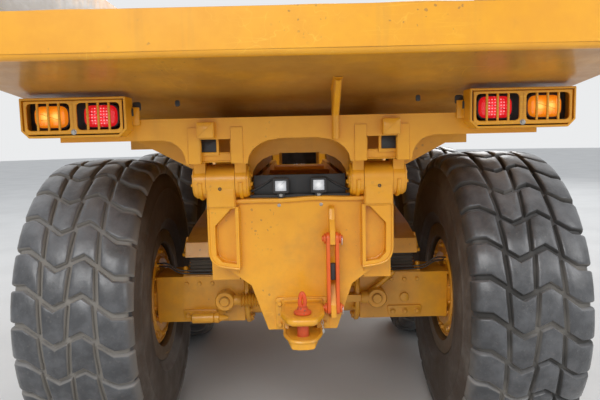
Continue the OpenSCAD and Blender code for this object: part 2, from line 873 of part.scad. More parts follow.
module cab_shell() {
    color([0.85, 0.6, 0.1])
        difference() {
            cab_solid(0);
            cab_solid(cab_t);
            cab_windows(0);
            block([-cab_w / 2 - 10, -cab_w / 2 + cab_t + 10], door_y, door_z);
        }
    // Lower knuckles of the door hinges
    color([0.12, 0.12, 0.12])
        for (z = door_knuckle_z)
            difference() {
                union() {
                    bar_z(door_knuckle_r, door_pin[0], door_pin[1], [z, z + 60]);
                    block([door_pin[0] - 6, -cab_w / 2], [door_pin[1] - 60, door_pin[1]], [z, z + 60]);
                }
                bar_z(door_pin_r + fit, door_pin[0], door_pin[1], [z - 1, z + 61]);
            }
}

module cab_glass() {
    color([0.2, 0.3, 0.35, 0.6])
        intersection() {
            difference() {
                cab_solid(20);
                cab_solid(20 + glass_t);
            }
            cab_windows(fit);
        }
}

module cab_roof() {
    color([0.9, 0.65, 0.12]) {
        block([-cab_w / 2 - 20, cab_w / 2 + 20], [cab_y[0] + 40, cab_y[1] - 150], [cab_top, cab_top + 60]);
        bar_z(55, 500, cab_y[0] + 200, [cab_top + 60, cab_top + 170]);
    }
}

module seat() {
    y = cab_y[0] + 420;
    color([0.15, 0.15, 0.16]) {
        block([-180, 180], [y, y + 380], [cab_z + cab_t, cab_z + cab_t + 330]);
        block([-260, 260], [y - 20, y + 480], [cab_z + cab_t + 330, cab_z + cab_t + 450]);
        plate_x([
            [y - 60, cab_z + 430], [y + 60, cab_z + 430], [y - 40, cab_z + 1150], [y - 140, cab_z + 1150],
        ], [-230, 230]);
    }
}

module steering_column() {
    y = cab_y[1] - 330;
    color([0.1, 0.1, 0.1]) {
        block([-420, 420], [y + 60, y + 220], [cab_z + cab_t, cab_z + 640]);
        translate([0, y + 90, cab_z + 560])
            rotate([35, 0, 0]) {
                cylinder(r = 35, h = 300);
                translate([0, 0, 290])
                    rotate_extrude()
                        translate([190, 0])
                            circle(r = 16);
                for (a = [90, 210, 330])
                    rotate([0, 0, a])
                        bar_x(12, [0, 190], 0, 290);
            }
    }
}

// Window in the door, shrunk by inset, as [y range, z range]
function door_window(inset) = [
    [door_y[0] + 90 + inset, door_y[1] - 90 - inset],
    [cab_z + 620 + inset, door_z[1] - 90 - inset],
];

module cab_door() {
    x = [-cab_w / 2, -cab_w / 2 + cab_t - 10];
    color([0.85, 0.6, 0.1])
        difference() {
            block(x, [door_y[0] + door_gap, door_y[1] - door_gap], [door_z[0] + door_gap, door_z[1] - door_gap]);
            block([x[0] - 1, x[1] + 1], door_window(0)[0], door_window(0)[1]);
        }
    // Upper knuckles with the hinge pins
    color([0.12, 0.12, 0.12])
        for (z = door_knuckle_z) {
            bar_z(door_pin_r, door_pin[0], door_pin[1], [z + 2, z + 80]);
            bar_z(door_knuckle_r, door_pin[0], door_pin[1], [z + 60 + fit, z + 120]);
            block([door_pin[0] - 6, -cab_w / 2], [door_pin[1], door_y[0] + 60], [z + 60 + fit, z + 120]);
        }
}

module door_glass() {
    color([0.2, 0.3, 0.35, 0.6])
        block([-cab_w / 2 + 20, -cab_w / 2 + 20 + glass_t], door_window(fit)[0], door_window(fit)[1]);
}

// Bonnet

// Side outline of the bonnet, moved inward by inset
function hood_side(inset) = [
    [hood_y[0] + inset, hood_z - (inset > 0 ? 50 : 0)],
    [hood_y[0] + inset, hood_rear_z - inset],
    [hood_y[1] - 650, hood_front_z + 140 - inset],
    [hood_y[1] - 160 - inset / 2, hood_front_z - inset],
    [hood_y[1] - inset, hood_front_z - 170 - inset / 2],
    [hood_y[1] - inset, hood_z - (inset > 0 ? 50 : 0)],
];

// Bonnet with its upper side edges sloped, moved inward by inset
module hood_solid(inset) {
    w = hood_w / 2 - inset;
    intersection() {
        plate_x(hood_side(inset), [-w, w]);
        plate_y([
            [-w, hood_z - 60], [w, hood_z - 60], [w, hood_front_z - 260], [w - 70, hood_rear_z + 60],
            [70 - w, hood_rear_z + 60], [-w, hood_front_z - 260],
        ], [hood_y[0] - 10, hood_y[1] + 10]);
    }
}

module bonnet() {
    color([0.85, 0.6, 0.1])
        difference() {
            hood_solid(0);
            hood_solid(hood_t);
            block([-470, 470], [hood_y[1] - 100, hood_y[1] + 10], [hood_z + 120, hood_front_z - 230]);
            block([-hood_w / 2 + hood_t, hood_w / 2 - hood_t], [hood_y[0] - 10, hood_y[0] + 50],
                [hood_z - 10, cab_z + 200]);
        }
    color([0.85, 0.6, 0.1])
        both_sides()
            bar_x(hood_pin_r, [rail_x[1] + 5, hood_w / 2 - hood_t + 5], hood_pin[0], hood_pin[1]);
}

module grille() {
    slats = 9;
    z0 = hood_z + 120 + fit;
    z1 = hood_front_z - 230 - fit;
    step = (z1 - z0) / slats;
    y = [hood_y[1] - 28, hood_y[1] - 8];
    color([0.1, 0.1, 0.1]) {
        for (x = [-470 + fit, -10, 450 - fit])
            block([x, x + 20], y, [z0, z1]);
        for (i = [0 : slats - 1])
            block([-470 + fit, 470 - fit], [y[0], y[1]], [z0 + i * step, z0 + (i + 0.45) * step]);
    }
}

// Steering cylinders: local Z runs from the foot to the eye

module at_steer(side) {
    translate([side * steer_foot[0], steer_foot[1], steer_z])
        rotate([90, 0, -side * steer_angle])
            children();
}

module steer_barrel(side) {
    color([0.1, 0.1, 0.1])
        at_steer(side)
            difference() {
                union() {
                    rotate([90, 0, 0])
                        cylinder(r = steer_eye_r, h = steer_eye_w, center = true);
                    cylinder(r = steer_eye_w / 2 - 2, h = 80);
                    translate([0, 0, 80])
                        cylinder(r = steer_r, h = steer_barrel_l - 80);
                }
                rotate([90, 0, 0])
                    cylinder(r = steer_pin_r + fit, h = steer_eye_w + 10, center = true);
                translate([0, 0, steer_rod_start - steer_stroke - 10])
                    cylinder(r = steer_rod_r + fit, h = steer_barrel_l);
            }
}

module steer_rod(side) {
    color([0.7, 0.7, 0.72])
        at_steer(side) {
            translate([0, 0, steer_rod_start])
                cylinder(r = steer_rod_r, h = steer_rest_l - steer_rod_start);
            translate([0, 0, steer_rest_l])
                rotate([90, 0, 0])
                    cylinder(r = steer_eye_r, h = steer_eye_w, center = true);
        }
}

// Tipping cylinders: local Z runs from the foot to the eye

module at_tip(side) {
    translate([side * tip_x, tip_foot[0], tip_foot[1]])
        rotate([90 - tip_angle, 0, 0])
            children();
}

module tip_barrel(side) {
    color([0.85, 0.6, 0.1])
        at_tip(side)
            difference() {
                union() {
                    rotate([0, 90, 0])
                        cylinder(r = tip_eye_r, h = tip_eye_w, center = true);
                    cylinder(r = tip_eye_w / 2 - 2, h = 120);
                    translate([0, 0, 120])
                        cylinder(r = tip_r, h = tip_barrel_l - 120);
                }
                rotate([0, 90, 0])
                    cylinder(r = tip_pin_r + fit, h = tip_eye_w + 10, center = true);
                translate([0, 0, tip_rod_start - 10])
                    cylinder(r = tip_rod_r + fit, h = tip_barrel_l);
            }
}

module tip_rod(side) {
    color([0.7, 0.7, 0.72])
        at_tip(side) {
            translate([0, 0, tip_rod_start])
                cylinder(r = tip_rod_r, h = tip_rest_l - tip_rod_start);
            translate([0, 0, tip_rest_l])
                rotate([0, 90, 0])
                    cylinder(r = tip_eye_r, h = tip_eye_w, center = true);
        }
}

// Bed

// Side outline of the bed shell, moved inward by inset, open above when inset
function bed_side(inset) = [
    [bed_foot_y - inset, bed_z + inset],
    [chute_y, bed_z + inset],
    [tail_y - (inset > 0 ? 10 : 0), inset > 0 ? lip_z + lip_h : lip_z],
    [tail_y - (inset > 0 ? 10 : 0), inset > 0 ? bed_head_z + 100 : lip_z + lip_h + 160],
    [rear_y - 350, bed_top_z + (inset > 0 ? 400 : 0)],
    [bed_foot_y + 120, bed_top_z + (inset > 0 ? 400 : 0)],
    [bed_foot_y + 320, bed_head_z + (inset > 0 ? 400 : 0)],
    [bed_front_y - inset, bed_head_z + (inset > 0 ? 400 : 0)],
    [bed_front_y - inset, bed_top_z],
];

// Cross outline of the bed shell
function bed_cross(inset) = [
    [-bed_floor_w / 2 + inset, bed_z],
    [bed_floor_w / 2 - inset, bed_z],
    [bed_w / 2 - inset, bed_knee_z],
    [bed_w / 2 - inset, bed_head_z + 500],
    [-bed_w / 2 + inset, bed_head_z + 500],
    [-bed_w / 2 + inset, bed_knee_z],
];

// Plan outline of the bed shell, with cut front corners
function bed_plan(inset) = [
    [-bed_w / 2 + inset, tail_y - 20],
    [bed_w / 2 - inset, tail_y - 20],
    [bed_w / 2 - inset, bed_front_y - 300 - inset / 2],
    [bed_w / 2 - 300 - inset / 2, bed_front_y - inset],
    [-bed_w / 2 + 300 + inset / 2, bed_front_y - inset],
    [-bed_w / 2 + inset, bed_front_y - 300 - inset / 2],
];

module bed_solid(inset) {
    intersection() {
        plate_x(bed_side(inset), [-bed_w, bed_w]);
        plate_y(bed_cross(inset), [tail_y - 30, bed_front_y + 30]);
        plate_z(bed_plan(inset), [bed_z - 10, bed_head_z + 600]);
    }
}

module bed_shell() {
    rib_y = [rear_y - 420, bed_foot_y - 60];
    step = (rib_y[1] - rib_y[0]) / (rib_n - 1);
    rail_h = 110;
    w = bed_w / 2;
    color([0.85, 0.6, 0.1]) {
        difference() {
            bed_solid(0);
            bed_solid(bed_t);
        }
        both_sides() {
            // Top rail
            block([w, w + rib_d], [rib_y[0] - 40, rib_y[1] + 160], [bed_top_z - rail_h, bed_top_z]);
            // Rail along the bend
            block([w, w + rib_d], [rib_y[0] - 40, rib_y[1] + 160], [bed_knee_z, bed_knee_z + 80]);
            // Upright ribs
            for (i = [0 : rib_n - 1])
                block([w, w + rib_d], [rib_y[0] + i * step - 45, rib_y[0] + i * step + 45],
                    [bed_knee_z + 80, bed_top_z - rail_h]);
        }
        // Tail lip with its fold below
        plate_x([
            [tail_y + 14, lip_z + lip_h], [tail_y + 14, lip_z + lip_h - 22], [tail_y + 4, lip_z + lip_h - 26],
            [tail_y + 4, lip_z + 22], [tail_y, lip_z + 12], [tail_y + 4, lip_z], [tail_y + 16, lip_z - 9],
            [tail_y + 34, lip_z - 10], [tail_y + 60, lip_z], [tail_y + 60, lip_z + lip_h],
        ], [-w, w]);
        // Ribs on the front wall, their roots inside the plate
        for (x = [-700, -250, 200, 650])
            plate_x([
                [bed_front_y, bed_top_z - 60], [bed_front_y + rib_d, bed_top_z - 60],
                [bed_front_y + rib_d, bed_head_z - 40], [bed_front_y - bed_t / 2, bed_head_z - 40],
                [bed_front_y - bed_t / 2, bed_top_z + bed_t], [bed_front_y, bed_top_z + bed_t],
            ], [x, x + 50]);
    }
}

module bed_beams() {
    pad_z = frame_top + 25;
    z = [pad_z + fit, bed_z];
    color([0.8, 0.56, 0.1]) {
        both_sides() {
            plate_x([
                [bed_pin_y + 200, z[0] + 90], [bed_pin_y + 340, z[0]], [bed_foot_y - 500, z[0]],
                [bed_foot_y - 250, z[1]], [bed_pin_y + 200, z[1]],
            ], [beam_in + 10, beam_out - 10]);
            // Brackets of the tipping cylinders
            for (x = [tip_x - 70, tip_x + 45])
                tip_eye_cheek([x, x + 25]);
        }
        for (y = [bed_pin_y + 500, mid_y + 250, bed_foot_y - 620])
            block([-900, 900], [y, y + 120], [bed_z - 75, bed_z]);
    }
}

module tip_eye_cheek(x) {
    y = tip_eye[0];
    z = tip_eye[1];
    plate_x([
        [y + 130, bed_z], [y - 130, bed_z], [y - 70, z - 40], [y - 30, z - 70],
        [y + 30, z - 70], [y + 70, z - 40],
    ], x);
}

// Gusset beside an ear of the bolster, its free edge a hollow arc, from x[0] at the ear to x[1]
module arc_gusset(x, z, y) {
    arc = [for (i = [0 : 5]) i * 18];
    plate_y(concat(
        [[x[0], z[1]]], [[x[0], z[0]]],
        [for (a = arc) [x[1] + (x[0] - x[1]) * cos(a) * 0.88, z[0] + (z[1] - 8 - z[0]) * sin(a)]],
        [[x[1], z[1]]]), y);
}

module tail_bolster() {
    rear = [bed_pin_y - 170, bed_pin_y - 130];
    web = [bed_pin_y + 100, bed_pin_y + 200];
    under = 1710;
    gusset_z = [1606, under + 5];
    color([0.8, 0.56, 0.1]) {
        plate_y([[-1000, 1800], [-1000, under], [1000, under], [1000, 1800]], rear);
        both_sides() {
            arc_gusset([ear_in, 88], gusset_z, rear);
            arc_gusset([ear_out, 562], gusset_z, rear);
            // Ears with their cross bars and the pins of the bed
            for (x = [[ear_in, ear_in + ear_t], [ear_out - ear_t, ear_out]]) {
                block(x, [bed_pin_y - 175, bed_pin_y + 110], [bed_pin_z + 88, 1760]);
                block(x, [bed_pin_y - 62, bed_pin_y + 62], [bed_pin_z, bed_pin_z + 90]);
                bar_x(ear_r, x, bed_pin_y, bed_pin_z);
            }
            block([ear_in + 5, ear_out - 5], [bed_pin_y - 130, bed_pin_y - 95], [bed_pin_z + 95, bed_pin_z + 132]);
            bar_x(bed_pin_r, [ear_in - 6, ear_out + 6], bed_pin_y, bed_pin_z);
            // Stop pads
            block([351, 419], [rear[0] - 45, rear[0]], [under + 6, under + 70]);
            // Web that slopes down to the ears
            plate_y([
                [ear_out - 5, 1760], [ear_out - 5, 1570], [ear_out + 20, 1566], [760, under], [760, 1760],
            ], [web[0], web[0] + 30]);
            arc_gusset([ear_in + 5, 92], [bed_pin_z + 4, bed_pin_z + 122], [web[0], web[0] + 25]);
        }
        block([-ear_out, ear_out], web, [bed_pin_z + 120, 1760]);
        // Fin under the chute
        plate_x([
            [rear[0], under - 10], [rear[0] - 28, under - 10], [rear[0] - 28, 1800], [rear[0] - 230, 1934],
            [rear[0], 1895],
        ], [140, 170]);
    }
}

window_x = [[715, 890], [915, 1090]];
window_z = [1760, 1870];
guard_n = 3;

module lamp_boxes() {
    x = [690, 1116];
    y = [bed_pin_y - 270, bed_pin_y - 170];
    z = [1730, 1890];
    color([0.8, 0.56, 0.1])
        both_sides()
            difference() {
                plate_y([
                    [x[0], z[0] + 30], [x[0] + 30, z[0]], [x[1] - 30, z[0]], [x[1], z[0] + 30],
                    [x[1], z[1]], [x[0], z[1]],
                ], y);
                for (w = window_x)
                    block(w, [y[0] - 1, y[0] + 60], window_z);
            }
    // Guard bars over the lamps
    color([0.8, 0.56, 0.1])
        both_sides()
            for (w = window_x)
                for (i = [1 : guard_n])
                    block([w[0] + i * (w[1] - w[0]) / (guard_n + 1) - 4, w[0] + i * (w[1] - w[0]) / (guard_n + 1) + 4],
                        [y[0], y[0] + 12], [window_z[0] - 2, window_z[1] + 2]);
}

module tail_lamps() {
    y = [bed_pin_y - 255, bed_pin_y - 210];
    color([0.8, 0.2, 0.05])
        both_sides()
            for (x = [[725, 880], [925, 1080]])
                block(x, y, [1765, 1865]);
}

front_frame();
bumper();
headlamps();
engine();
radiator();
front_axle();
mudguards();
steps();
side_tanks();
exhaust();
mirrors();
cab_shell();
cab_roof();
cab_glass();
seat();
steering_column();
cab_door();
door_glass();
bonnet();
grille();
hitch_yoke();
steer_barrel(-1);  // steer_barrel_left
steer_barrel(1);  // steer_barrel_right
steer_rod(-1);  // steer_rod_left
steer_rod(1);  // steer_rod_right
rear_frame();
tail_plate();
tow_hitch();
hitch_pin();
prop_strut();
work_lamps();
bogie_axles();
walking_beams();
rubber_blocks();
bed_shell();
bed_beams();
tail_bolster();
lamp_boxes();
tail_lamps();
tip_barrel(-1);  // tip_barrel_left
tip_barrel(1);  // tip_barrel_right
tip_rod(-1);  // tip_rod_left
tip_rod(1);  // tip_rod_right
rim(-1, front_y);  // rim_front_left
rim(1, front_y);  // rim_front_right
rim(-1, mid_y);  // rim_mid_left
rim(1, mid_y);  // rim_mid_right
rim(-1, rear_y);  // rim_rear_left
rim(1, rear_y);  // rim_rear_right
tyre(-1, front_y);  // tyre_front_left
tyre(1, front_y);  // tyre_front_right
tyre(-1, mid_y);  // tyre_mid_left
tyre(1, mid_y);  // tyre_mid_right
tyre(-1, rear_y);  // tyre_rear_left
tyre(1, rear_y);  // tyre_rear_right
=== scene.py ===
"""Looks of an articulated dump truck with six driven wheels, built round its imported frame.

Every sub-assembly is a class that holds its sizes in metres and builds its own pieces.
Every surface is worked out with numpy as whole arrays. X points right, Y forward, Z up.
"""

import logging
import math
from dataclasses import dataclass
from enum import Enum
from typing import Callable, Sequence

import bpy
import numpy as np
from mathutils import Matrix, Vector
from numpy.typing import NDArray


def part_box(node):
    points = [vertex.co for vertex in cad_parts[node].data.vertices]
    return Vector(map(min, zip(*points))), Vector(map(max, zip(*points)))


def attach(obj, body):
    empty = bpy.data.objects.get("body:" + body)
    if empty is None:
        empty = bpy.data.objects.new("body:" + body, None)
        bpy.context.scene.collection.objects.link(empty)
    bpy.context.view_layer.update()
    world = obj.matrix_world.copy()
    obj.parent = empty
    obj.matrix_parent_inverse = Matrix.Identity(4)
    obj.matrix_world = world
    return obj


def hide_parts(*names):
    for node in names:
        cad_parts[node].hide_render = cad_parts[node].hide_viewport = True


Array = NDArray[np.float64]
Point = tuple[float, float, float]
Pair = tuple[float, float]

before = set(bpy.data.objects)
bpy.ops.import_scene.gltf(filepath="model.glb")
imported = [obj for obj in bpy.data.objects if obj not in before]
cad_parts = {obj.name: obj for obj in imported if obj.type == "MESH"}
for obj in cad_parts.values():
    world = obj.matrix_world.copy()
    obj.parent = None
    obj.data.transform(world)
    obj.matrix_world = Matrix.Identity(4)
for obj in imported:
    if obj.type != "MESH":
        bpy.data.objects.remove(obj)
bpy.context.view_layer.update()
log = logging.getLogger("dump_truck")


class Axis(Enum):
    """The axis that an outline is carried along, with the order of its two own axes."""

    X = (1, 2, 0)
    Y = (0, 2, 1)
    Z = (0, 1, 2)


@dataclass
class Shape:
    """One or more closed forms: their points, their faces by number of corners, and a depth value per point."""

    points: Array
    faces: list[NDArray[np.int64]]
    depth: Array | None = None

    def moved(self, x: float = 0.0, y: float = 0.0, z: float = 0.0) -> "Shape":
        """The shape carried by a distance along each axis."""
        return Shape(self.points + np.array([x, y, z]), self.faces, self.depth)

    def turned(self, axis: str, degrees: float, at: Point = (0.0, 0.0, 0.0)) -> "Shape":
        """The shape turned round an axis through a point, by the right-hand rule."""
        turn = np.array(Matrix.Rotation(math.radians(degrees), 3, axis))
        return Shape((self.points - at) @ turn.T + at, self.faces, self.depth)

    def mirrored(self) -> "Shape":
        """The mirror image across the plane X = 0, its faces turned back outwards."""
        return Shape(self.points * [-1, 1, 1], [f[:, ::-1] for f in self.faces], self.depth)

    def both(self) -> "Shape":
        """The shape and its mirror image."""
        return join([self, self.mirrored()])

    def outward(self) -> "Shape":
        """The shape with its faces pointing outwards: the signed volume is the sum of a . (b x c) / 6 over
        fans.
        """
        volume = 0.0
        for f in self.faces:
            p = self.points[f]
            for k in range(1, f.shape[1] - 1):
                volume += float(np.einsum("ij,ij->", p[:, 0], np.cross(p[:, k], p[:, k + 1])))
        return self if volume >= 0 else Shape(self.points, [f[:, ::-1] for f in self.faces], self.depth)

    def values(self) -> Array:
        """The depth value of each point, or zeros."""
        return self.depth if self.depth is not None else np.zeros(len(self.points))


def join(shapes: Sequence[Shape]) -> Shape:
    """Several shapes as one.

    Args:
        shapes: The shapes, in any order.

    Returns:
        One shape that holds all their points and faces.
    """
    starts = np.cumsum([0] + [len(s.points) for s in shapes])
    faces = [f + n for s, n in zip(shapes, starts) for f in s.faces]
    return Shape(np.concatenate([s.points for s in shapes]), faces,
                 np.concatenate([s.values() for s in shapes]))


def repeat(shape: Shape, places: Array, turns: Array | None = None) -> Shape:
    """A small shape put at many places at once: point = turn * point + place.

    Args:
        shape: The shape, round its own origin.
        places: (n, 3) places.
        turns: (n, 3, 3) turns, or None for none.

    Returns:
        The n copies as one shape.
    """
    places = np.atleast_2d(np.asarray(places, float))
    n, m = len(places), len(shape.points)
    base = shape.points[None] if turns is None else np.einsum("nij,mj->nmi", turns, shape.points)
    points = (base + places[:, None]).reshape(-1, 3)
    steps = (np.arange(n) * m)[:, None, None]
    faces = [(f[None] + steps).reshape(-1, f.shape[1]) for f in shape.faces]
    return Shape(points, faces, np.tile(shape.values(), n))


def facing(direction: Point) -> Array:
    """The turn that leads Z to a direction, as a 3 x 3 matrix."""
    z = np.array(direction, float) / np.linalg.norm(direction)
    x = np.cross([0.0, 0.0, 1.0] if abs(z[2]) < 0.9 else [1.0, 0.0, 0.0], z)
    x /= np.linalg.norm(x)
    return np.stack([x, np.cross(z, x), z], -1)


def grid(points: Array, ring: bool = True, loop: bool = False, caps: bool = True) -> Shape:
    """Four-cornered faces between the neighbours of a grid of points.

    Args:
        points: (rows, columns, 3) points.
        ring: The last column joins the first.
        loop: The last row joins the first.
        caps: The first and the last row are each closed by one flat face.

    Returns:
        The closed shape, facing outwards.
    """
    rows, columns = points.shape[:2]
    i = np.arange(rows if loop else rows - 1)[:, None]
    j = np.arange(columns if ring else columns - 1)[None]
    at = lambda a, b: (a % rows) * columns + b % columns
    faces = [np.stack([at(i, j), at(i, j + 1), at(i + 1, j + 1), at(i + 1, j)], -1).reshape(-1, 4)]
    if caps and not loop:
        row = np.arange(columns)
        faces += [row[None, ::-1], row[None] + (rows - 1) * columns]
    return Shape(points.reshape(-1, 3), faces).outward()


def inset(outline: Array, distance: float | Array) -> Array:
    """An outline moved inward: each corner goes along its bisector by distance / cos(half the turn)."""
    before, after = np.roll(outline, 1, 0), np.roll(outline, -1, 0)
    a, b = outline - before, after - outline
    a /= np.linalg.norm(a, axis=1, keepdims=True) + 1e-12
    b /= np.linalg.norm(b, axis=1, keepdims=True) + 1e-12
    area = float(np.sum(outline[:, 0] * after[:, 1] - after[:, 0] * outline[:, 1]))
    side = 1.0 if area > 0 else -1.0
    na, nb = side * np.stack([-a[:, 1], a[:, 0]], -1), side * np.stack([-b[:, 1], b[:, 0]], -1)
    mid = na + nb
    return outline + mid / np.maximum(np.sum(mid * na, axis=1, keepdims=True), 0.35) * distance


def rounded(outline: Sequence[Sequence[float]], radius: float | Sequence[float], steps: int = 4) -> Array:
    """An outline with its corners rounded: each corner becomes an arc that touches both of its edges.

    Args:
        outline: (n, 2) corners.
        radius: One radius, or one for each corner; zero keeps the corner sharp.
        steps: The pieces of each arc.

    Returns:
        The new outline, with steps + 1 points for each corner.
    """
    p = np.asarray(outline, float)
    r = np.broadcast_to(np.asarray(radius, float), (len(p),))
    a, b = np.roll(p, 1, 0) - p, np.roll(p, -1, 0) - p
    la, lb = np.linalg.norm(a, axis=1), np.linalg.norm(b, axis=1)
    a, b = a / la[:, None], b / lb[:, None]
    half = np.arccos(np.clip(np.sum(a * b, 1), -1, 1)) / 2
    reach = np.minimum(r / np.tan(np.maximum(half, 1e-3)), 0.49 * np.minimum(la, lb))
    start, end = p + a * reach[:, None], p + b * reach[:, None]
    t = np.linspace(0, 1, steps + 1)[None, :, None]
    bow = (1 - t) ** 2 * start[:, None] + 2 * t * (1 - t) * (p * 0.93 + (start + end) * 0.035)[:, None]
    return (bow + t**2 * end[:, None]).reshape(-1, 2)


def prism(outline: Array, axis: Axis, lo: float, hi: float, edge: float = 0.004, steps: int = 2) -> Shape:
    """An outline carried along an axis, both of its rims rounded by a quarter turn of the given radius.

    Args:
        outline: (n, 2) corners in the axis's own two axes.
        axis: The axis that the outline is carried along.
        lo: Where it starts.
        hi: Where it ends.
        edge: The radius of its rims; zero leaves them sharp.
        steps: The pieces of a rounded rim.

    Returns:
        The closed shape.
    """
    outline = np.asarray(outline, float)
    if edge <= 0:
        rings, along = [outline, outline], [lo, hi]
    else:
        t = np.linspace(0, math.pi / 2, steps + 1)
        deep, off = edge * (1 - np.sin(t)), edge * (1 - np.cos(t))
        rings = [inset(outline, d) for d in deep] + [inset(outline, d) for d in deep[::-1]]
        along = [*(lo + off), *(hi - off[::-1])]
    a, b, c = axis.value
    points = np.zeros((len(rings), len(outline), 3))
    points[..., (a, b)] = np.stack(rings)
    points[..., c] = np.asarray(along)[:, None]
    return grid(points)


def rect(x0: float, x1: float, y0: float, y1: float, radius: float = 0.0, steps: int = 3) -> Array:
    """A rectangle's outline, its corners rounded by a radius."""
    corners = [(x0, y0), (x1, y0), (x1, y1), (x0, y1)]
    return rounded(corners, radius, steps) if radius > 0 else np.array(corners, float)


def slab(lo: Point, hi: Point, edge: float = 0.004, axis: Axis = Axis.X, corner: float | None = None) -> Shape:
    """A block between two corners with every edge rounded: a rounded rectangle carried along an axis."""
    a, b, c = axis.value
    outline = rect(lo[a], hi[a], lo[b], hi[b], edge if corner is None else corner)
    return prism(outline, axis, lo[c], hi[c], edge)


def lathe(profile: Sequence[Sequence[float]], axis: Axis, centre: Point, sides: int = 48,
          closed: bool = False) -> Shape:
    """A profile turned round an axis: point = centre + radius * (cos, sin) + distance along the axis.

    Args:
        profile: (n, 2) points as radius and distance along the axis.
        axis: The axis of turning.
        centre: A point on the axis.
        sides: The pieces of a full turn.
        closed: The profile is a closed ring, so that the shape has a hole; otherwise flat caps close it.

    Returns:
        The closed shape.
    """
    p = np.asarray(profile, float)
    turn = np.arange(sides) * 2 * math.pi / sides
    a, b, c = axis.value
    points = np.zeros((len(p), sides, 3))
    points[..., a] = p[:, :1] * np.cos(turn)
    points[..., b] = p[:, :1] * np.sin(turn)
    points[..., c] = p[:, 1:]
    return grid(points + np.asarray(centre), loop=closed)


def drum(radius: float, axis: Axis, centre: Point, length: float, edge: float = 0.003,
         sides: int = 32) -> Shape:
    """A round bar from a centre along an axis, with rounded rims."""
    e = min(edge, radius * 0.6, abs(length) * 0.45)
    s = math.copysign(1.0, length)
    profile = [(radius - e, 0), (radius - 0.3 * e, 0.3 * s * e), (radius, s * e), (radius, length - s * e),
               (radius - 0.3 * e, length - 0.3 * s * e), (radius - e, length)]
    return lathe(profile, axis, centre, sides)


def smooth_path(corners: Sequence[Point], bend: float = 0.05, steps: int = 6) -> Array:
    """A path through space whose corners are rounded: each one is a quadratic curve between two nearby points.
    """
    p = np.asarray(corners, float)
    if len(p) < 3:
        return p
    a, b = p[:-2] - p[1:-1], p[2:] - p[1:-1]
    la, lb = np.linalg.norm(a, axis=1, keepdims=True), np.linalg.norm(b, axis=1, keepdims=True)
    s, e = p[1:-1] + a / la * np.minimum(bend, 0.48 * la), p[1:-1] + b / lb * np.minimum(bend, 0.48 * lb)
    t = np.linspace(0, 1, steps + 1)[None, :, None]
    arcs = (1 - t) ** 2 * s[:, None] + 2 * t * (1 - t) * p[1:-1, None] + t**2 * e[:, None]
    return np.concatenate([p[:1], arcs.reshape(-1, 3), p[-1:]])


def tube(path: Array, radius: float | Array, sides: int = 10, loop: bool = False) -> Shape:
    """A round profile carried along a path: point = path + radius * (cos * normal + sin * binormal).

    The normals are the parts of one fixed direction that lie across the path, so the profile doesn't twist.

    Args:
        path: (n, 3) points.
        radius: One radius, or one for each point of the path.
        sides: The pieces of the round.
        loop: The path's end joins its start.

    Returns:
        The closed shape.
    """
    path = np.asarray(path, float)
    step = np.roll(path, -1, 0) - np.roll(path, 1, 0) if loop else np.gradient(path, axis=0)
    t = step / (np.linalg.norm(step, axis=1, keepdims=True) + 1e-12)
    spread = np.ptp(path, axis=0)
    guide = np.eye(3)[int(np.argmin(spread))] + np.array([0.011, 0.017, 0.013])
    n = guide - np.sum(t * guide, 1, keepdims=True) * t
    n /= np.linalg.norm(n, axis=1, keepdims=True)
    b = np.cross(t, n)
    a = np.arange(sides) * 2 * math.pi / sides
    r = np.broadcast_to(np.asarray(radius, float), (len(path),))[:, None, None]
    ring = np.cos(a)[None, :, None] * n[:, None] + np.sin(a)[None, :, None] * b[:, None]
    return grid(path[:, None] + r * ring, loop=loop)


def weld(corners: Sequence[Point], radius: float = 0.006, bend: float = 0.01) -> Shape:
    """A weld bead along a path: a tube whose radius swells and shrinks with each drop of metal."""
    p = smooth_path(corners, bend)
    far = np.concatenate([[0], np.cumsum(np.linalg.norm(np.diff(p, axis=0), axis=1))])
    count = max(6, min(260, int(far[-1] / 0.012)))
    at = np.linspace(0, far[-1], count)
    path = np.stack([np.interp(at, far, p[:, k]) for k in range(3)], -1)
    swell = 1 + 0.10 * np.sin(at * 260) + 0.08 * np.sin(at * 93 + 1.3)
    return tube(path, radius * swell, 6)


def hex_bolt(radius: float, height: float) -> Shape:
    """A hexagon head with a chamfered top on a washer, standing on Z = 0."""
    head = lathe([(radius, -0.001), (radius, height * 0.8), (radius * 0.86, height)], Axis.Z, (0, 0, 0), 6)
    ring = lathe([(radius * 1.35, -0.001), (radius * 1.35, height * 0.16), (radius * 1.25, height * 0.22)],
                 Axis.Z, (0, 0, 0), 14)
    return join([head, ring])


def bolts(radius: float, height: float, places: Sequence[Sequence[float]], direction: Point) -> Shape:
    """Hexagon bolts at many places, their heads pointing one way."""
    turns = np.broadcast_to(facing(direction), (len(places), 3, 3))
    return repeat(hex_bolt(radius, height), np.asarray(places, float), turns)


def circle_places(axis: Axis, centre: Point, radius: float, count: int, start: float = 0.0) -> Array:
    """Places spread evenly on a circle round an axis, as (count, 3)."""
    t = np.radians(start) + np.arange(count) * 2 * math.pi / count
    a, b, c = axis.value
    places = np.tile(np.asarray(centre, float), (count, 1))
    places[:, a] += radius * np.cos(t)
    places[:, b] += radius * np.sin(t)
    return places


def bent(points: Sequence[Point], bend: float, radius: float, sides: int = 10) -> Shape:
    """A tube along a path whose corners are rounded by a bend."""
    return tube(smooth_path(points, bend), radius, sides)


def box_corners(axis: Axis, at: float, u: Pair, v: Pair) -> list[Point]:
    """The four corners of a rectangle that stands across an axis at a place."""
    a, b, c = axis.value
    points = np.full((4, 3), at)
    points[:, a], points[:, b] = (u[0], u[1], u[1], u[0]), (v[0], v[0], v[1], v[1])
    return [tuple(p) for p in points.tolist()]


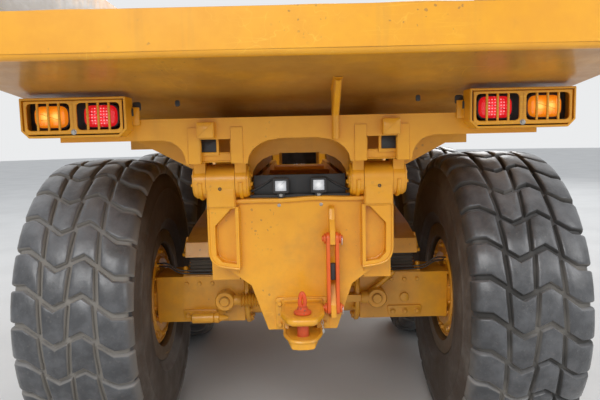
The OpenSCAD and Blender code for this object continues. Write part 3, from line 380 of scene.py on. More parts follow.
def loft(rings: Array, axis: Axis, along: Array, loop: bool = False) -> Shape:
    """A closed form through outlines of equally many points, each at its own place along an axis."""
    a, b, c = axis.value
    points = np.zeros((*rings.shape[:2], 3))
    points[..., (a, b)] = rings
    points[..., c] = along[:, None]
    return grid(points, loop=loop)


def piece(name: str, shape: Shape, finish: "Finish", body: str, smooth: float = 40.0,
          replaces: Sequence[str] = ()) -> bpy.types.Object:
    """Makes one piece of the scene from a shape.

    Args:
        name: The piece's name.
        shape: Its closed form.
        finish: Its finish.
        body: The CAD body that it rides on.
        smooth: Edges that turn by less than this many degrees are shaded smooth.
        replaces: The CAD nodes that the piece stands for.

    Returns:
        The new object, at the origin.
    """
    mesh = bpy.data.meshes.new(name)
    corners = np.concatenate([f.ravel() for f in shape.faces]).astype(np.int32)
    total = np.concatenate([np.full(len(f), f.shape[1]) for f in shape.faces]).astype(np.int32)
    mesh.vertices.add(len(shape.points))
    mesh.loops.add(len(corners))
    mesh.polygons.add(len(total))
    mesh.vertices.foreach_set("co", shape.points.astype(np.float32).ravel())
    mesh.loops.foreach_set("vertex_index", corners)
    mesh.polygons.foreach_set("loop_start", np.concatenate([[0], np.cumsum(total)[:-1]]).astype(np.int32))
    mesh.polygons.foreach_set("loop_total", total)
    mesh.polygons.foreach_set("use_smooth", np.ones(len(total), dtype=bool))
    mesh.update(calc_edges=True)
    mesh.validate()
    if shape.depth is not None:
        depth = mesh.attributes.new("depth", "FLOAT", "POINT")
        depth.data.foreach_set("value", shape.depth.astype(np.float32))
    mesh.set_sharp_from_angle(angle=math.radians(smooth))
    mesh.materials.append(finish.material())
    made = bpy.data.objects.new(name, mesh)
    bpy.context.scene.collection.objects.link(made)
    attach(made, body)
    if replaces:
        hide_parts(*replaces)
    return made


Colour = tuple[float, float, float]
Socket = bpy.types.NodeSocket
Value = float | Sequence[float] | Socket


class Wiring:
    """A node tree, with short ways to add its nodes and join them."""

    def __init__(self, tree: bpy.types.NodeTree) -> None:
        """Keeps the tree that the nodes go into."""
        self.tree = tree

    def put(self, socket: Socket, value: Value) -> None:
        """Joins an output to an input, or sets the input to a number or colour."""
        if isinstance(value, bpy.types.NodeSocket):
            self.tree.links.new(value, socket)
        elif socket.type == "RGBA":
            socket.default_value = (*value, 1.0)
        else:
            socket.default_value = value

    def node(self, kind: str, inputs: dict[str | int, Value] | None = None,
             **settings: object) -> bpy.types.Node:
        """Adds a node.

        Args:
            kind: The node's class name without its first word.
            inputs: Values or outputs for its inputs, by name or number.
            settings: Its own settings.

        Returns:
            The new node.
        """
        made = self.tree.nodes.new("ShaderNode" + kind)
        for key, value in settings.items():
            setattr(made, key, value)
        for key, value in (inputs or {}).items():
            self.put(made.inputs[key], value)
        return made

    def calc(self, operation: str, a: Value, b: Value = 0.0, c: Value = 0.0, clamp: bool = False) -> Socket:
        """One step of arithmetic on numbers."""
        return self.node("Math", {0: a, 1: b, 2: c}, operation=operation, use_clamp=clamp).outputs[0]

    def times(self, a: Value, b: Value) -> Socket:
        """A product of two numbers."""
        return self.calc("MULTIPLY", a, b)

    def scaled(self, a: Value, factor: Value, more: Value) -> Socket:
        """A number times a factor, plus another number."""
        return self.calc("MULTIPLY_ADD", a, factor, more)

    def rest(self, a: Value, clamp: bool = False) -> Socket:
        """What a number leaves of one."""
        return self.calc("SUBTRACT", 1.0, a, clamp=clamp)

    def vector(self, operation: str, a: Value, b: Value) -> Socket:
        """One step of arithmetic on vectors, giving a vector."""
        return self.node("VectorMath", {0: a, 1: b}, operation=operation).outputs[0]

    def span(self, value: Value, lo: float, hi: float, to_lo: Value = 0.0, to_hi: Value = 1.0) -> Socket:
        """A smooth step from one range to another."""
        inputs = {0: value, 1: lo, 2: hi, 3: to_lo, 4: to_hi}
        return self.node("MapRange", inputs, interpolation_type="SMOOTHSTEP").outputs[0]

    def blend(self, factor: Value, a: Value, b: Value, mode: str = "MIX") -> Socket:
        """A colour between two others."""
        return self.node("Mix", {0: factor, 6: a, 7: b}, data_type="RGBA", blend_type=mode).outputs[2]

    def noise(self, vector: Value, scale: Value, detail: float = 3.0, rough: float = 0.55) -> Socket:
        """A cloudy pattern between zero and one."""
        return self.node("TexNoise",
                         {"Vector": vector, "Scale": scale, "Detail": detail, "Roughness": rough}).outputs[0]

    def place(self) -> Socket:
        """The surface's own place, in metres."""
        return self.node("TexCoord").outputs["Object"]

    def parts(self, vector: Value) -> bpy.types.NodeOutputs:
        """The X, Y and Z of a vector."""
        return self.node("SeparateXYZ", {0: vector}).outputs

    def looks(self) -> bpy.types.NodeOutputs:
        """The X, Y and Z of where the surface faces, in the piece's own axes, so a moved piece keeps its
        pattern.
        """
        return self.parts(self.node("TexCoord").outputs["Normal"])


@dataclass(frozen=True)
class Effect:
    """A pattern that several finishes use, kept as one node group with named inputs and outputs."""

    name: str
    inputs: dict[str, float]
    outputs: tuple[str, ...]
    wire: Callable[[Wiring, bpy.types.NodeOutputs], tuple[Socket, ...]]

    def tree(self) -> bpy.types.NodeTree:
        """The node group, made at its first use."""
        found = bpy.data.node_groups.get(self.name)
        if found:
            return found
        tree = bpy.data.node_groups.new(self.name, "ShaderNodeTree")
        tree.interface.new_socket(name="Vector", in_out="INPUT", socket_type="NodeSocketVector")
        for name, usual in self.inputs.items():
            tree.interface.new_socket(name=name, in_out="INPUT",
                                      socket_type="NodeSocketFloat").default_value = usual
        for name in self.outputs:
            tree.interface.new_socket(name=name, in_out="OUTPUT", socket_type="NodeSocketFloat")
        wiring = Wiring(tree)
        entry, way_out = tree.nodes.new("NodeGroupInput"), tree.nodes.new("NodeGroupOutput")
        for name, result in zip(self.outputs, self.wire(wiring, entry.outputs)):
            wiring.put(way_out.inputs[name], result)
        return tree

    def put(self, w: Wiring, place: Socket, **values: float) -> bpy.types.NodeOutputs:
        """Puts the effect into a material.

        Args:
            w: The material's wiring.
            place: The coordinates that the pattern lies on.
            values: Its inputs, by name in small letters.

        Returns:
            The group's outputs.
        """
        made = w.tree.nodes.new("ShaderNodeGroup")
        made.node_tree = self.tree()
        w.put(made.inputs["Vector"], place)
        for key, value in values.items():
            w.put(made.inputs[key.capitalize()], value)
        return made.outputs


def wire_mottle(w: Wiring, i: bpy.types.NodeOutputs) -> tuple[Socket, ...]:
    """Broad and fine clouds, six parts to four."""
    broad = w.noise(i["Vector"], i["Scale"], 4.0)
    fine = w.noise(i["Vector"], w.times(i["Scale"], 9.0), 3.0, 0.6)
    both = w.scaled(broad, 0.6, w.times(fine, 0.4))
    return w.span(both, 0.36, 0.66), w.span(fine, 0.35, 0.7)


def wire_dust(w: Wiring, i: bpy.types.NodeOutputs) -> tuple[Socket, ...]:
    """Dust that lies on faces that look up, broken by clouds, and a thin film on the others."""
    up = w.looks()["Z"]
    clouds = w.span(w.noise(i["Vector"], i["Scale"], 6.0, 0.65), 0.34, 0.68)
    lying = w.times(w.span(up, 0.15, 0.95), clouds)
    return (w.calc("MAXIMUM", lying, w.times(clouds, i["Film"])),)


def wire_edges(w: Wiring, i: bpy.types.NodeOutputs) -> tuple[Socket, ...]:
    """Edges, where the softened normal differs from the true one, broken by clouds."""
    soft = w.node("Bevel", {"Radius": i["Reach"]}, samples=3).outputs[0]
    true = w.node("NewGeometry").outputs["Normal"]
    bend = w.rest(w.node("VectorMath", {0: soft, 1: true}, operation="DOT_PRODUCT").outputs["Value"])
    clouds = w.span(w.noise(i["Vector"], 22.0, 5.0, 0.7), 0.46, 0.66)
    return (w.times(w.span(bend, 0.03, 0.25), clouds),)


def wire_runs(w: Wiring, i: bpy.types.NodeOutputs) -> tuple[Socket, ...]:
    """Dirty water that ran down steep faces: clouds drawn out along Z."""
    drawn = w.vector("MULTIPLY", i["Vector"], (1.0, 1.0, 0.07))
    lines = w.span(w.noise(drawn, i["Scale"], 4.0, 0.6), 0.52, 0.74)
    up = w.calc("ABSOLUTE", w.looks()["Z"])
    breaks = w.span(w.noise(i["Vector"], 2.3, 2.0), 0.4, 0.65)
    return (w.times(w.times(lines, breaks), w.span(up, 0.3, 0.8, 1.0, 0.0)),)


def wire_scratches(w: Wiring, i: bpy.types.NodeOutputs) -> tuple[Socket, ...]:
    """Fine lines where a drawn-out cloud crosses its middle value, in two directions, in a few places only."""
    masks = []
    for turn, wide in (((0.4, 0.9, 0.3), (1.0, 26.0, 26.0)), ((1.3, 0.2, 1.9), (20.0, 1.2, 20.0))):
        turned = w.node("Mapping", {"Vector": i["Vector"], "Rotation": turn, "Scale": wide}).outputs[0]
        cross = w.calc("ABSOLUTE", w.calc("SUBTRACT", w.noise(turned, i["Scale"], 1.0), 0.5))
        masks.append(w.span(cross, 0.0, 0.012, 1.0, 0.0))
    sparse = w.span(w.noise(i["Vector"], 3.1, 3.0), 0.5, 0.68)
    return (w.times(w.calc("MAXIMUM", masks[0], masks[1]), sparse),)


def wire_chips(w: Wiring, i: bpy.types.NodeOutputs) -> tuple[Socket, ...]:
    """Small spots, the cells of a scattered pattern whose own random value is high, in cloudy patches."""
    bent = w.vector("ADD", i["Vector"],
                    w.vector("MULTIPLY", w.node("TexNoise", {"Vector": i["Vector"], "Scale": 90.0}).outputs[1],
                             (0.012, 0.012, 0.012)))
    cell = w.node("TexVoronoi", {"Vector": bent, "Scale": i["Scale"]})
    chosen = w.span(w.parts(cell.outputs["Color"])["X"], 0.78, 0.98, 0.0, 0.40)
    spot = w.calc("GREATER_THAN", chosen, cell.outputs["Distance"])
    return (w.times(spot, w.span(w.noise(i["Vector"], 3.0, 4.0), 0.54, 0.64)),)


def wire_splash(w: Wiring, i: bpy.types.NodeOutputs) -> tuple[Socket, ...]:
    """Dried mud thrown up from the ground: drops and clouds that thin out with height."""
    height = w.span(w.parts(i["Vector"])["Z"], 0.25, 1.75, 1.0, 0.0)
    clouds = w.noise(i["Vector"], 5.0, 7.0, 0.7)
    cell = w.node("TexVoronoi", {"Vector": i["Vector"], "Scale": 48.0}).outputs["Distance"]
    drops = w.span(w.calc("ADD", cell, w.times(clouds, -0.55)), -0.02, 0.06, 1.0, 0.0)
    cover = w.span(w.calc("ADD", clouds, w.times(height, 0.34)), 0.58, 0.86)
    return (w.calc("MAXIMUM", cover, w.times(drops, w.times(height, 0.6))),)


def wire_grain(w: Wiring, i: bpy.types.NodeOutputs) -> tuple[Socket, ...]:
    """A fine relief: small clouds over a gentle waviness."""
    fine = w.noise(i["Vector"], i["Scale"], 3.0, 0.6)
    wavy = w.noise(i["Vector"], 7.0, 2.0)
    return (w.scaled(wavy, 0.8, fine),)


MOTTLE = Effect("mottle", {"Scale": 1.3}, ("Broad", "Fine"), wire_mottle)
DUST = Effect("dust", {"Scale": 3.0, "Film": 0.2}, ("Mask",), wire_dust)
EDGES = Effect("worn edges", {"Reach": 0.006}, ("Mask",), wire_edges)
RUNS = Effect("dirt runs", {"Scale": 13.0}, ("Mask",), wire_runs)
SCRATCHES = Effect("scratches", {"Scale": 1.0}, ("Mask",), wire_scratches)
CHIPS = Effect("chips", {"Scale": 70.0}, ("Mask",), wire_chips)
SPLASH = Effect("mud splash", {}, ("Mask",), wire_splash)
GRAIN = Effect("grain", {"Scale": 260.0}, ("Height",), wire_grain)


def start_material(name: str) -> tuple[bpy.types.Material, Wiring, bpy.types.Node]:
    """A new material with its wiring and its one shader."""
    material = bpy.data.materials.new(name)
    material.use_nodes = True
    w = Wiring(material.node_tree)
    return material, w, next(n for n in material.node_tree.nodes if n.type == "BSDF_PRINCIPLED")


@dataclass(frozen=True)
class Finish:
    """A finish: a material with a name, wired by each kind in its own way."""

    name: str

    def material(self) -> bpy.types.Material:
        """The material, made at its first use."""
        return bpy.data.materials.get(self.name) or self.build()

    def build(self) -> bpy.types.Material:
        """Makes the material."""
        raise NotImplementedError


@dataclass(frozen=True)
class Coating(Finish):
    """Painted, coated or bare metal and hard plastic, as it looks after some years of work."""

    colour: Colour
    shade: Colour
    roughness: float = 0.40
    metallic: float = 0.0
    coat: float = 0.0
    mottle: float = 0.6
    dust: float = 0.20
    film: float = 0.06
    dust_colour: Colour = (0.235, 0.185, 0.125)
    splash: float = 0.22
    mud: Colour = (0.20, 0.135, 0.065)
    wear: float = 0.40
    bare: Colour = (0.15, 0.085, 0.045)
    runs: float = 0.16
    scratch: float = 0.22
    chips: float = 0.45
    grain: float = 0.12
    grain_scale: float = 260.0
    soft: float = 0.004

    def under_dirt(self, w: Wiring, at: Socket, colour: Socket) -> Socket:
        """What a special finish does to the clean colour; a plain one leaves it."""
        return colour

    def build(self) -> bpy.types.Material:
        """Wires colour, then dirt over it, then wear through it, with the roughness and relief of each."""
        material, w, shader = start_material(self.name)
        at = w.place()
        mottle = MOTTLE.put(w, at)
        dust = w.times(DUST.put(w, at, film=self.film)["Mask"], self.dust)
        splash = w.times(SPLASH.put(w, at)["Mask"], self.splash)
        runs = w.times(RUNS.put(w, at)["Mask"], self.runs)
        scratch = w.times(SCRATCHES.put(w, at)["Mask"], self.scratch)
        chips = w.times(CHIPS.put(w, at)["Mask"], self.chips)
        worn = w.calc("MAXIMUM", chips, w.times(EDGES.put(w, at, reach=self.soft)["Mask"], self.wear))
        colour = w.blend(w.times(mottle["Broad"], self.mottle), self.colour, self.shade)
        colour = w.blend(w.times(mottle["Fine"], 0.25 * self.mottle), colour, self.shade)
        colour = self.under_dirt(w, at, colour)
        colour = w.blend(scratch, colour, tuple(min(1.0, 1.5 * c + 0.05) for c in self.colour))
        colour = w.blend(runs, colour, self.mud)
        colour = w.blend(worn, colour, self.bare)
        colour = w.blend(dust, colour, self.dust_colour)
        w.put(shader.inputs["Base Color"], w.blend(splash, colour, self.mud))
        dirt = w.calc("MAXIMUM", w.calc("MAXIMUM", dust, splash), runs)
        rough = w.scaled(mottle["Fine"], 0.10, self.roughness - 0.05)
        rough = w.scaled(dirt, 0.45, rough)
        w.put(shader.inputs["Roughness"], w.calc("MULTIPLY_ADD", worn, 0.15, rough, clamp=True))
        if self.metallic:
            clean = w.rest(dirt, clamp=True)
            w.put(shader.inputs["Metallic"], w.times(clean, self.metallic))
        if self.coat:
            w.put(shader.inputs["Coat Weight"], w.times(w.rest(dirt, clamp=True), self.coat))
            shader.inputs["Coat Roughness"].default_value = 0.12
        height = w.times(GRAIN.put(w, at, scale=self.grain_scale)["Height"], self.grain)
        height = w.scaled(worn, -0.35, height)
        height = w.scaled(splash, 0.25, height)
        rounded_edge = w.node("Bevel", {"Radius": self.soft}, samples=3).outputs[0]
        bump = w.node("Bump", {"Height": height, "Distance": 0.002, "Strength": 0.8, "Normal": rounded_edge})
        w.put(shader.inputs["Normal"], bump.outputs[0])
        return material


@dataclass(frozen=True)
class BedPaint(Coating):
    """Paint whose inner faces, where the load slides, are scoured to brown and grey steel."""

    half_width: float = 1.372
    steel: Colour = (0.27, 0.215, 0.155)
    earth: Colour = (0.20, 0.145, 0.085)
    # Brown painted shade for faces that look down, and its strength.
    shade_below_colour: Colour = (0.15, 0.085, 0.045)
    shade_below_strength: float = 0.55

    def under_dirt(self, w: Wiring, at: Socket, colour: Socket) -> Socket:
        """Faces between the side walls that look up, inward or backward are scoured, and faces that look down
        are darkened to brown as painted shade.
        """
        place, normal = w.parts(at), w.looks()
        inward = w.times(normal["X"], w.calc("SIGN", place["X"]))
        looks = w.calc("MAXIMUM", w.span(normal["Z"], 0.25, 0.45), w.span(inward, -0.45, -0.25, 1.0, 0.0))
        front = w.times(w.span(normal["Y"], -0.6, -0.4, 1.0, 0.0), w.span(place["Y"], -1.2, -1.0))
        between = w.span(w.calc("ABSOLUTE", place["X"]), self.half_width - 0.004, self.half_width, 1.0, 0.0)
        inside = w.times(w.calc("MAXIMUM", looks, front), between)
        drawn = w.vector("MULTIPLY", at, (7.0, 0.7, 2.0))
        rub = w.span(w.noise(drawn, 3.0, 7.0, 0.7), 0.38, 0.62)
        paint_left = w.span(w.calc("ADD", place["Z"], w.times(w.noise(at, 4.0, 6.0, 0.7), 0.5)), 2.75, 3.0)
        scoured = w.blend(rub, self.steel, self.earth)
        # Painted shade: faces that look down darken towards brown, broken by clouds.
        below = w.times(w.span(normal["Z"], -0.55, -0.25, self.shade_below_strength, 0.0),
                        w.span(w.noise(at, 2.6, 5.0, 0.65), 0.25, 0.60, 0.5, 1.0))
        colour = w.blend(below, colour, self.shade_below_colour)
        return w.blend(w.times(inside, w.rest(paint_left)), colour, scoured)


@dataclass(frozen=True)
class WheelPaint(Coating):
    """Paint of a wheel, caked with dark dirt on the side that looks to the frame."""

    dirty_below: float = 0.93
    cake: Colour = (0.050, 0.036, 0.024)

    def under_dirt(self, w: Wiring, at: Socket, colour: Socket) -> Socket:
        """The dirt covers what lies nearer to the middle of the machine than a distance."""
        far = w.calc("ABSOLUTE", w.parts(at)["X"])
        edge = w.scaled(w.noise(at, 8.0, 5.0), 0.06, far)
        return w.blend(w.span(edge, self.dirty_below, self.dirty_below + 0.05, 0.95, 0.0), colour, self.cake)


@dataclass(frozen=True)
class Rubber(Finish):
    """Moulded rubber: a tyre with dusty grooves, wet worn tops and brown side walls, or a plain block."""

    top: Colour = (0.030, 0.031, 0.034)
    groove: Colour = (0.225, 0.207, 0.182)
    deep: Colour = (0.045, 0.042, 0.038)
    wall: Colour = (0.062, 0.044, 0.031)
    top_roughness: float = 0.40
    wall_roughness: float = 0.62
    wet: float = 0.0
    # The film colour lies on faces that look up: dust on plain rubber, and on the tyre dust with a painted
    # bluish sheen of the sky.
    film: Colour = (0.225, 0.207, 0.182)
    dust_and_sheen: float = 0.08

    def build(self) -> bpy.types.Material:
        """The depth value leads from groove (0) to top (1) and on to side wall (2)."""
        material, w, shader = start_material(self.name)
        at = w.place()
        depth = w.node("Attribute", attribute_name="depth").outputs["Fac"]
        cloud = w.noise(at, 9.0, 6.0, 0.65)
        fine = w.noise(at, 70.0, 4.0, 0.65)
        raised = w.span(w.scaled(cloud, 0.35, depth), 0.55, 1.05)
        wall = w.span(depth, 1.15, 1.75)
        top = w.blend(w.span(cloud, 0.40, 0.70), self.top, tuple(1.7 * c + 0.012 for c in self.top))
        top = w.blend(w.span(fine, 0.56, 0.74, 0.0, 0.24), top, self.groove)
        side = w.blend(w.span(w.noise(at, 3.0, 5.0, 0.7), 0.42, 0.80, 0.0, 0.55), self.wall, self.groove)
        # Groove colour goes from dark to pale towards -X, broken by clouds.
        paler_towards_minus_x = w.scaled(w.parts(at)["X"], -0.16, w.noise(at, 2.2, 3.0))
        filled = w.blend(w.span(paler_towards_minus_x, 0.26, 0.50), self.deep, self.groove)
        colour = w.blend(raised, filled, top)
        # Faces that look up take the film colour: dust, and for the tyre also a painted sheen of the sky on its
        # tops.
        dust = w.times(DUST.put(w, at, film=0.10)["Mask"], self.dust_and_sheen)
        colour = w.blend(dust, w.blend(wall, colour, side), self.film)
        w.put(shader.inputs["Base Color"], colour)
        wet = w.scaled(fine, 0.30, self.top_roughness - 0.12)
        dry = w.scaled(cloud, 0.25, self.wall_roughness)
        rough = w.node("Mix", {0: raised, 2: 0.88, 3: wet}, data_type="FLOAT").outputs[0]
        w.put(shader.inputs["Roughness"],
              w.node("Mix", {0: wall, 2: rough, 3: dry}, data_type="FLOAT").outputs[0])
        if self.wet:
            film = w.times(w.times(raised, w.rest(wall)), w.span(cloud, 0.3, 0.6, 0.4, 1.0))
            w.put(shader.inputs["Coat Weight"], w.times(film, self.wet))
            shader.inputs["Coat Roughness"].default_value = 0.28
        pits = CHIPS.put(w, at, scale=60.0)["Mask"]
        height = w.scaled(fine, 0.6, w.times(cloud, 0.8))
        height = w.scaled(pits, -0.35, height)
        bump = w.node("Bump", {"Height": height, "Distance": 0.004, "Strength": 0.7})
        w.put(shader.inputs["Normal"], bump.outputs[0])
        return material


class LensKind(Enum):
    """How the light sits behind a lens."""

    DOTS = "a net of small round lights"
    BULB = "one bright spot in the middle"
    RIBS = "upright ribs"


@dataclass(frozen=True)
class Lens(Finish):
    """A lit or unlit lens, its pattern laid on X and Z round a centre."""

    colour: Colour
    glow: Colour
    strength: float
    kind: LensKind
    centre: Point = (0.0, 0.0, 0.0)
    spacing: float = 0.017
    reach: float = 0.045
    hot: Colour = (1.0, 1.0, 1.0)
    pair: float = 0.0

    def build(self) -> bpy.types.Material:
        """Wires the pattern to the glow and to the relief of the lens."""
        material, w, shader = start_material(self.name)
        at = w.parts(w.vector("SUBTRACT", w.node("VectorMath", {0: w.place()}, operation="ABSOLUTE").outputs[0],
                              tuple(abs(c) for c in self.centre)))
        waves = [w.calc("SINE", w.times(at[k], 2 * math.pi / self.spacing)) for k in ("X", "Z")]
        net = w.times(w.calc("ABSOLUTE", waves[0]), w.calc("ABSOLUTE", waves[1]))
        aside = w.calc("SUBTRACT", w.calc("ABSOLUTE", at["X"]), self.pair)
        far = w.calc("SQRT", w.calc("ADD", w.calc("POWER", aside, 2.0), w.calc("POWER", at["Z"], 2.0)))
        spot = w.span(far, 0.004, self.reach, 1.0, 0.0)
        if self.kind is LensKind.DOTS:
            lit, relief = w.scaled(spot, 0.45, 0.55), net
            bright = w.times(w.span(net, 0.62, 0.90), w.span(far, 0.034, 0.046, 1.0, 0.0))
        elif self.kind is LensKind.BULB:
            lit, relief = w.scaled(spot, 0.5, 0.5), waves[0]
            bright = w.calc("POWER", spot, 4.0)
        else:
            lit, relief, bright = w.scaled(waves[0], 0.2, 0.6), waves[0], 0.0
        dirt = w.times(w.span(w.noise(w.place(), 30.0, 4.0), 0.45, 0.75), 0.25)
        w.put(shader.inputs["Base Color"], w.blend(dirt, self.colour, (0.12, 0.09, 0.06)))
        w.put(shader.inputs["Emission Color"],
              w.blend(bright, w.blend(lit, (0.0, 0.0, 0.0), self.glow), self.hot))
        shader.inputs["Emission Strength"].default_value = self.strength
        w.put(shader.inputs["Roughness"], w.scaled(dirt, 1.2, 0.12))
        shader.inputs["Coat Weight"].default_value = 0.5
        bump = w.node("Bump", {"Height": relief, "Distance": 0.002, "Strength": 0.35})
        w.put(shader.inputs["Normal"], bump.outputs[0])
        return material


@dataclass(frozen=True)
class Glass(Finish):
    """Window or mirror glass with a film of dust and wiped traces."""

    tint: Colour = (0.62, 0.72, 0.70)
    through: float = 0.92
    metallic: float = 0.0

    def build(self) -> bpy.types.Material:
        """Wires a film of dust into the tint and the roughness."""
        material, w, shader = start_material(self.name)
        at = w.place()
        film = w.times(w.span(w.noise(at, 5.0, 6.0, 0.7), 0.42, 0.72), 0.30)
        spots = w.times(w.span(w.noise(at, 55.0, 3.0), 0.62, 0.72), 0.30)
        dirt = w.calc("ADD", film, spots, clamp=True)
        w.put(shader.inputs["Base Color"], w.blend(dirt, self.tint, (0.42, 0.36, 0.28)))
        w.put(shader.inputs["Roughness"], w.scaled(dirt, 0.8, 0.03))
        shader.inputs["Metallic"].default_value = self.metallic
        shader.inputs["Transmission Weight"].default_value = self.through
        shader.inputs["IOR"].default_value = 1.45
        bump = w.node("Bump", {"Height": w.noise(at, 2.0, 2.0), "Distance": 0.002, "Strength": 0.15})
        w.put(shader.inputs["Normal"], bump.outputs[0])
        return material


@dataclass(frozen=True)
class Cloth(Finish):
    """Woven seat cloth: two crossing threads, clouds of wear, and dust from the cab."""

    colour: Colour = (0.045, 0.047, 0.052)
    pale: Colour = (0.13, 0.13, 0.135)
    thread: float = 0.0035

    def build(self) -> bpy.types.Material:
        """The weave is a product of waves along the three axes, so it needs no map."""
        material, w, shader = start_material(self.name)
        at = w.place()
        p = w.parts(at)
        rate = 2 * math.pi / self.thread
        waves = [w.calc("SINE", w.times(p[k], rate)) for k in ("X", "Y", "Z")]
        weave = w.scaled(waves[0], 0.5, w.times(w.calc("ADD", waves[1], waves[2]), 0.5))
        worn = w.span(w.noise(at, 6.0, 5.0, 0.65), 0.4, 0.7)
        colour = w.blend(w.times(worn, 0.6), self.colour, self.pale)
        w.put(shader.inputs["Base Color"], w.blend(w.span(weave, -0.6, 0.9, 0.0, 0.4), colour, self.pale))
        w.put(shader.inputs["Roughness"], w.scaled(worn, -0.1, 0.92))
        shader.inputs["Sheen Weight"].default_value = 0.3
        bump = w.node("Bump", {"Height": weave, "Distance": 0.0008, "Strength": 0.6})
        w.put(shader.inputs["Normal"], bump.outputs[0])
        return material


YELLOW = Coating("yellow_paint_worn", (0.80, 0.360, 0.006), (0.70, 0.285, 0.004), coat=0.25)
LIP_YELLOW = Coating("yellow_paint_lip", (0.80, 0.360, 0.008), (0.70, 0.290, 0.006), coat=0.3, dust=0.15,
                     scratch=0.5, chips=0.5, splash=0.05)
WHEEL_YELLOW = WheelPaint("yellow_paint_wheel", (0.76, 0.340, 0.010), (0.60, 0.245, 0.008), coat=0.2, dust=0.25)
BED_YELLOW = BedPaint("yellow_paint_bed", (0.80, 0.360, 0.006), (0.70, 0.285, 0.004), coat=0.25, scratch=0.4,
                      chips=0.5)
BLACK = Coating("black_paint_dull", (0.020, 0.020, 0.021), (0.042, 0.039, 0.035), roughness=0.48,
                bare=(0.12, 0.07, 0.045))
IRON = Coating("engine_iron_oily", (0.085, 0.083, 0.080), (0.035, 0.032, 0.030), roughness=0.5, metallic=0.5,
               grain=0.35, grain_scale=90.0)
STEEL = Coating("zinc_steel", (0.46, 0.45, 0.42), (0.28, 0.25, 0.21), roughness=0.38, metallic=0.85, chips=0.3,
                soft=0.002)
BRIGHT = Coating("bright_tip", (0.80, 0.79, 0.76), (0.62, 0.60, 0.56), roughness=0.3, metallic=0.9, dust=0.1,
                 soft=0.002)
CHROME = Coating("rod_chrome_clean", (0.72, 0.72, 0.71), (0.55, 0.54, 0.52), roughness=0.14, metallic=1.0,
                 dust=0.2, splash=0.15, wear=0.0, runs=0.1, chips=0.0, grain=0.02)
ORANGE = Coating("orange_paint_worn", (0.76, 0.115, 0.006), (0.56, 0.070, 0.004), roughness=0.42, wear=0.7,
                 soft=0.003)
PIN_RED = Coating("pin_paint_worn", (0.72, 0.080, 0.006), (0.46, 0.040, 0.004), roughness=0.45, wear=0.8,
                  chips=0.8, soft=0.003)
PLASTIC = Coating("lamp_plastic_dull", (0.016, 0.016, 0.017), (0.035, 0.034, 0.032), roughness=0.5, wear=0.2,
                  chips=0.1, grain=0.25, grain_scale=420.0, soft=0.002)
EXHAUST = Coating("exhaust_heat", (0.20, 0.165, 0.135), (0.10, 0.065, 0.042), roughness=0.5, metallic=0.7,
                  grain=0.2)
# The tyre's bluish-grey film is dust with a painted sheen of the sky on faces that look up.
TYRE = Rubber("tyre_rubber_wet", wet=0.8, film=(0.27, 0.275, 0.29), dust_and_sheen=0.55)
PLAIN_RUBBER = Rubber("rubber_plain", top=(0.030, 0.029, 0.028), wall=(0.030, 0.029, 0.028),
                      groove=(0.10, 0.085, 0.066))
WINDOW = Glass("cab_window")
MIRROR = Glass("mirror_glass", (0.82, 0.84, 0.85), 0.0, 1.0)
CLEAR = Glass("lamp_cover", (0.90, 0.92, 0.93), 0.85)
SEAT_CLOTH = Cloth("seat_weave")
BEACON = Lens("beacon_amber", (0.75, 0.23, 0.01), (1.0, 0.35, 0.02), 0.25, LensKind.RIBS, spacing=0.012)
WORK_LIGHT = Lens("work_light_white", (0.42, 0.43, 0.44), (0.50, 0.52, 0.55), 0.55, LensKind.BULB,
                  (0.085, -4.31, 1.497), 0.014, 0.034)

SLOT_FINISH: dict[str, Finish] = {"yellow_paint": YELLOW, "black_paint": BLACK, "engine_iron": IRON,
                                  "orange_paint": ORANGE, "lamp_glass": CLEAR, "lamp_plastic": PLASTIC,
                                  "seat_cloth": SEAT_CLOTH, "cab_glass": WINDOW, "rod_chrome": CHROME,
                                  "rubber": PLAIN_RUBBER, "tyre_rubber": TYRE}


REAR, FRONT, BED = "rear_unit", "front_unit", "bed"


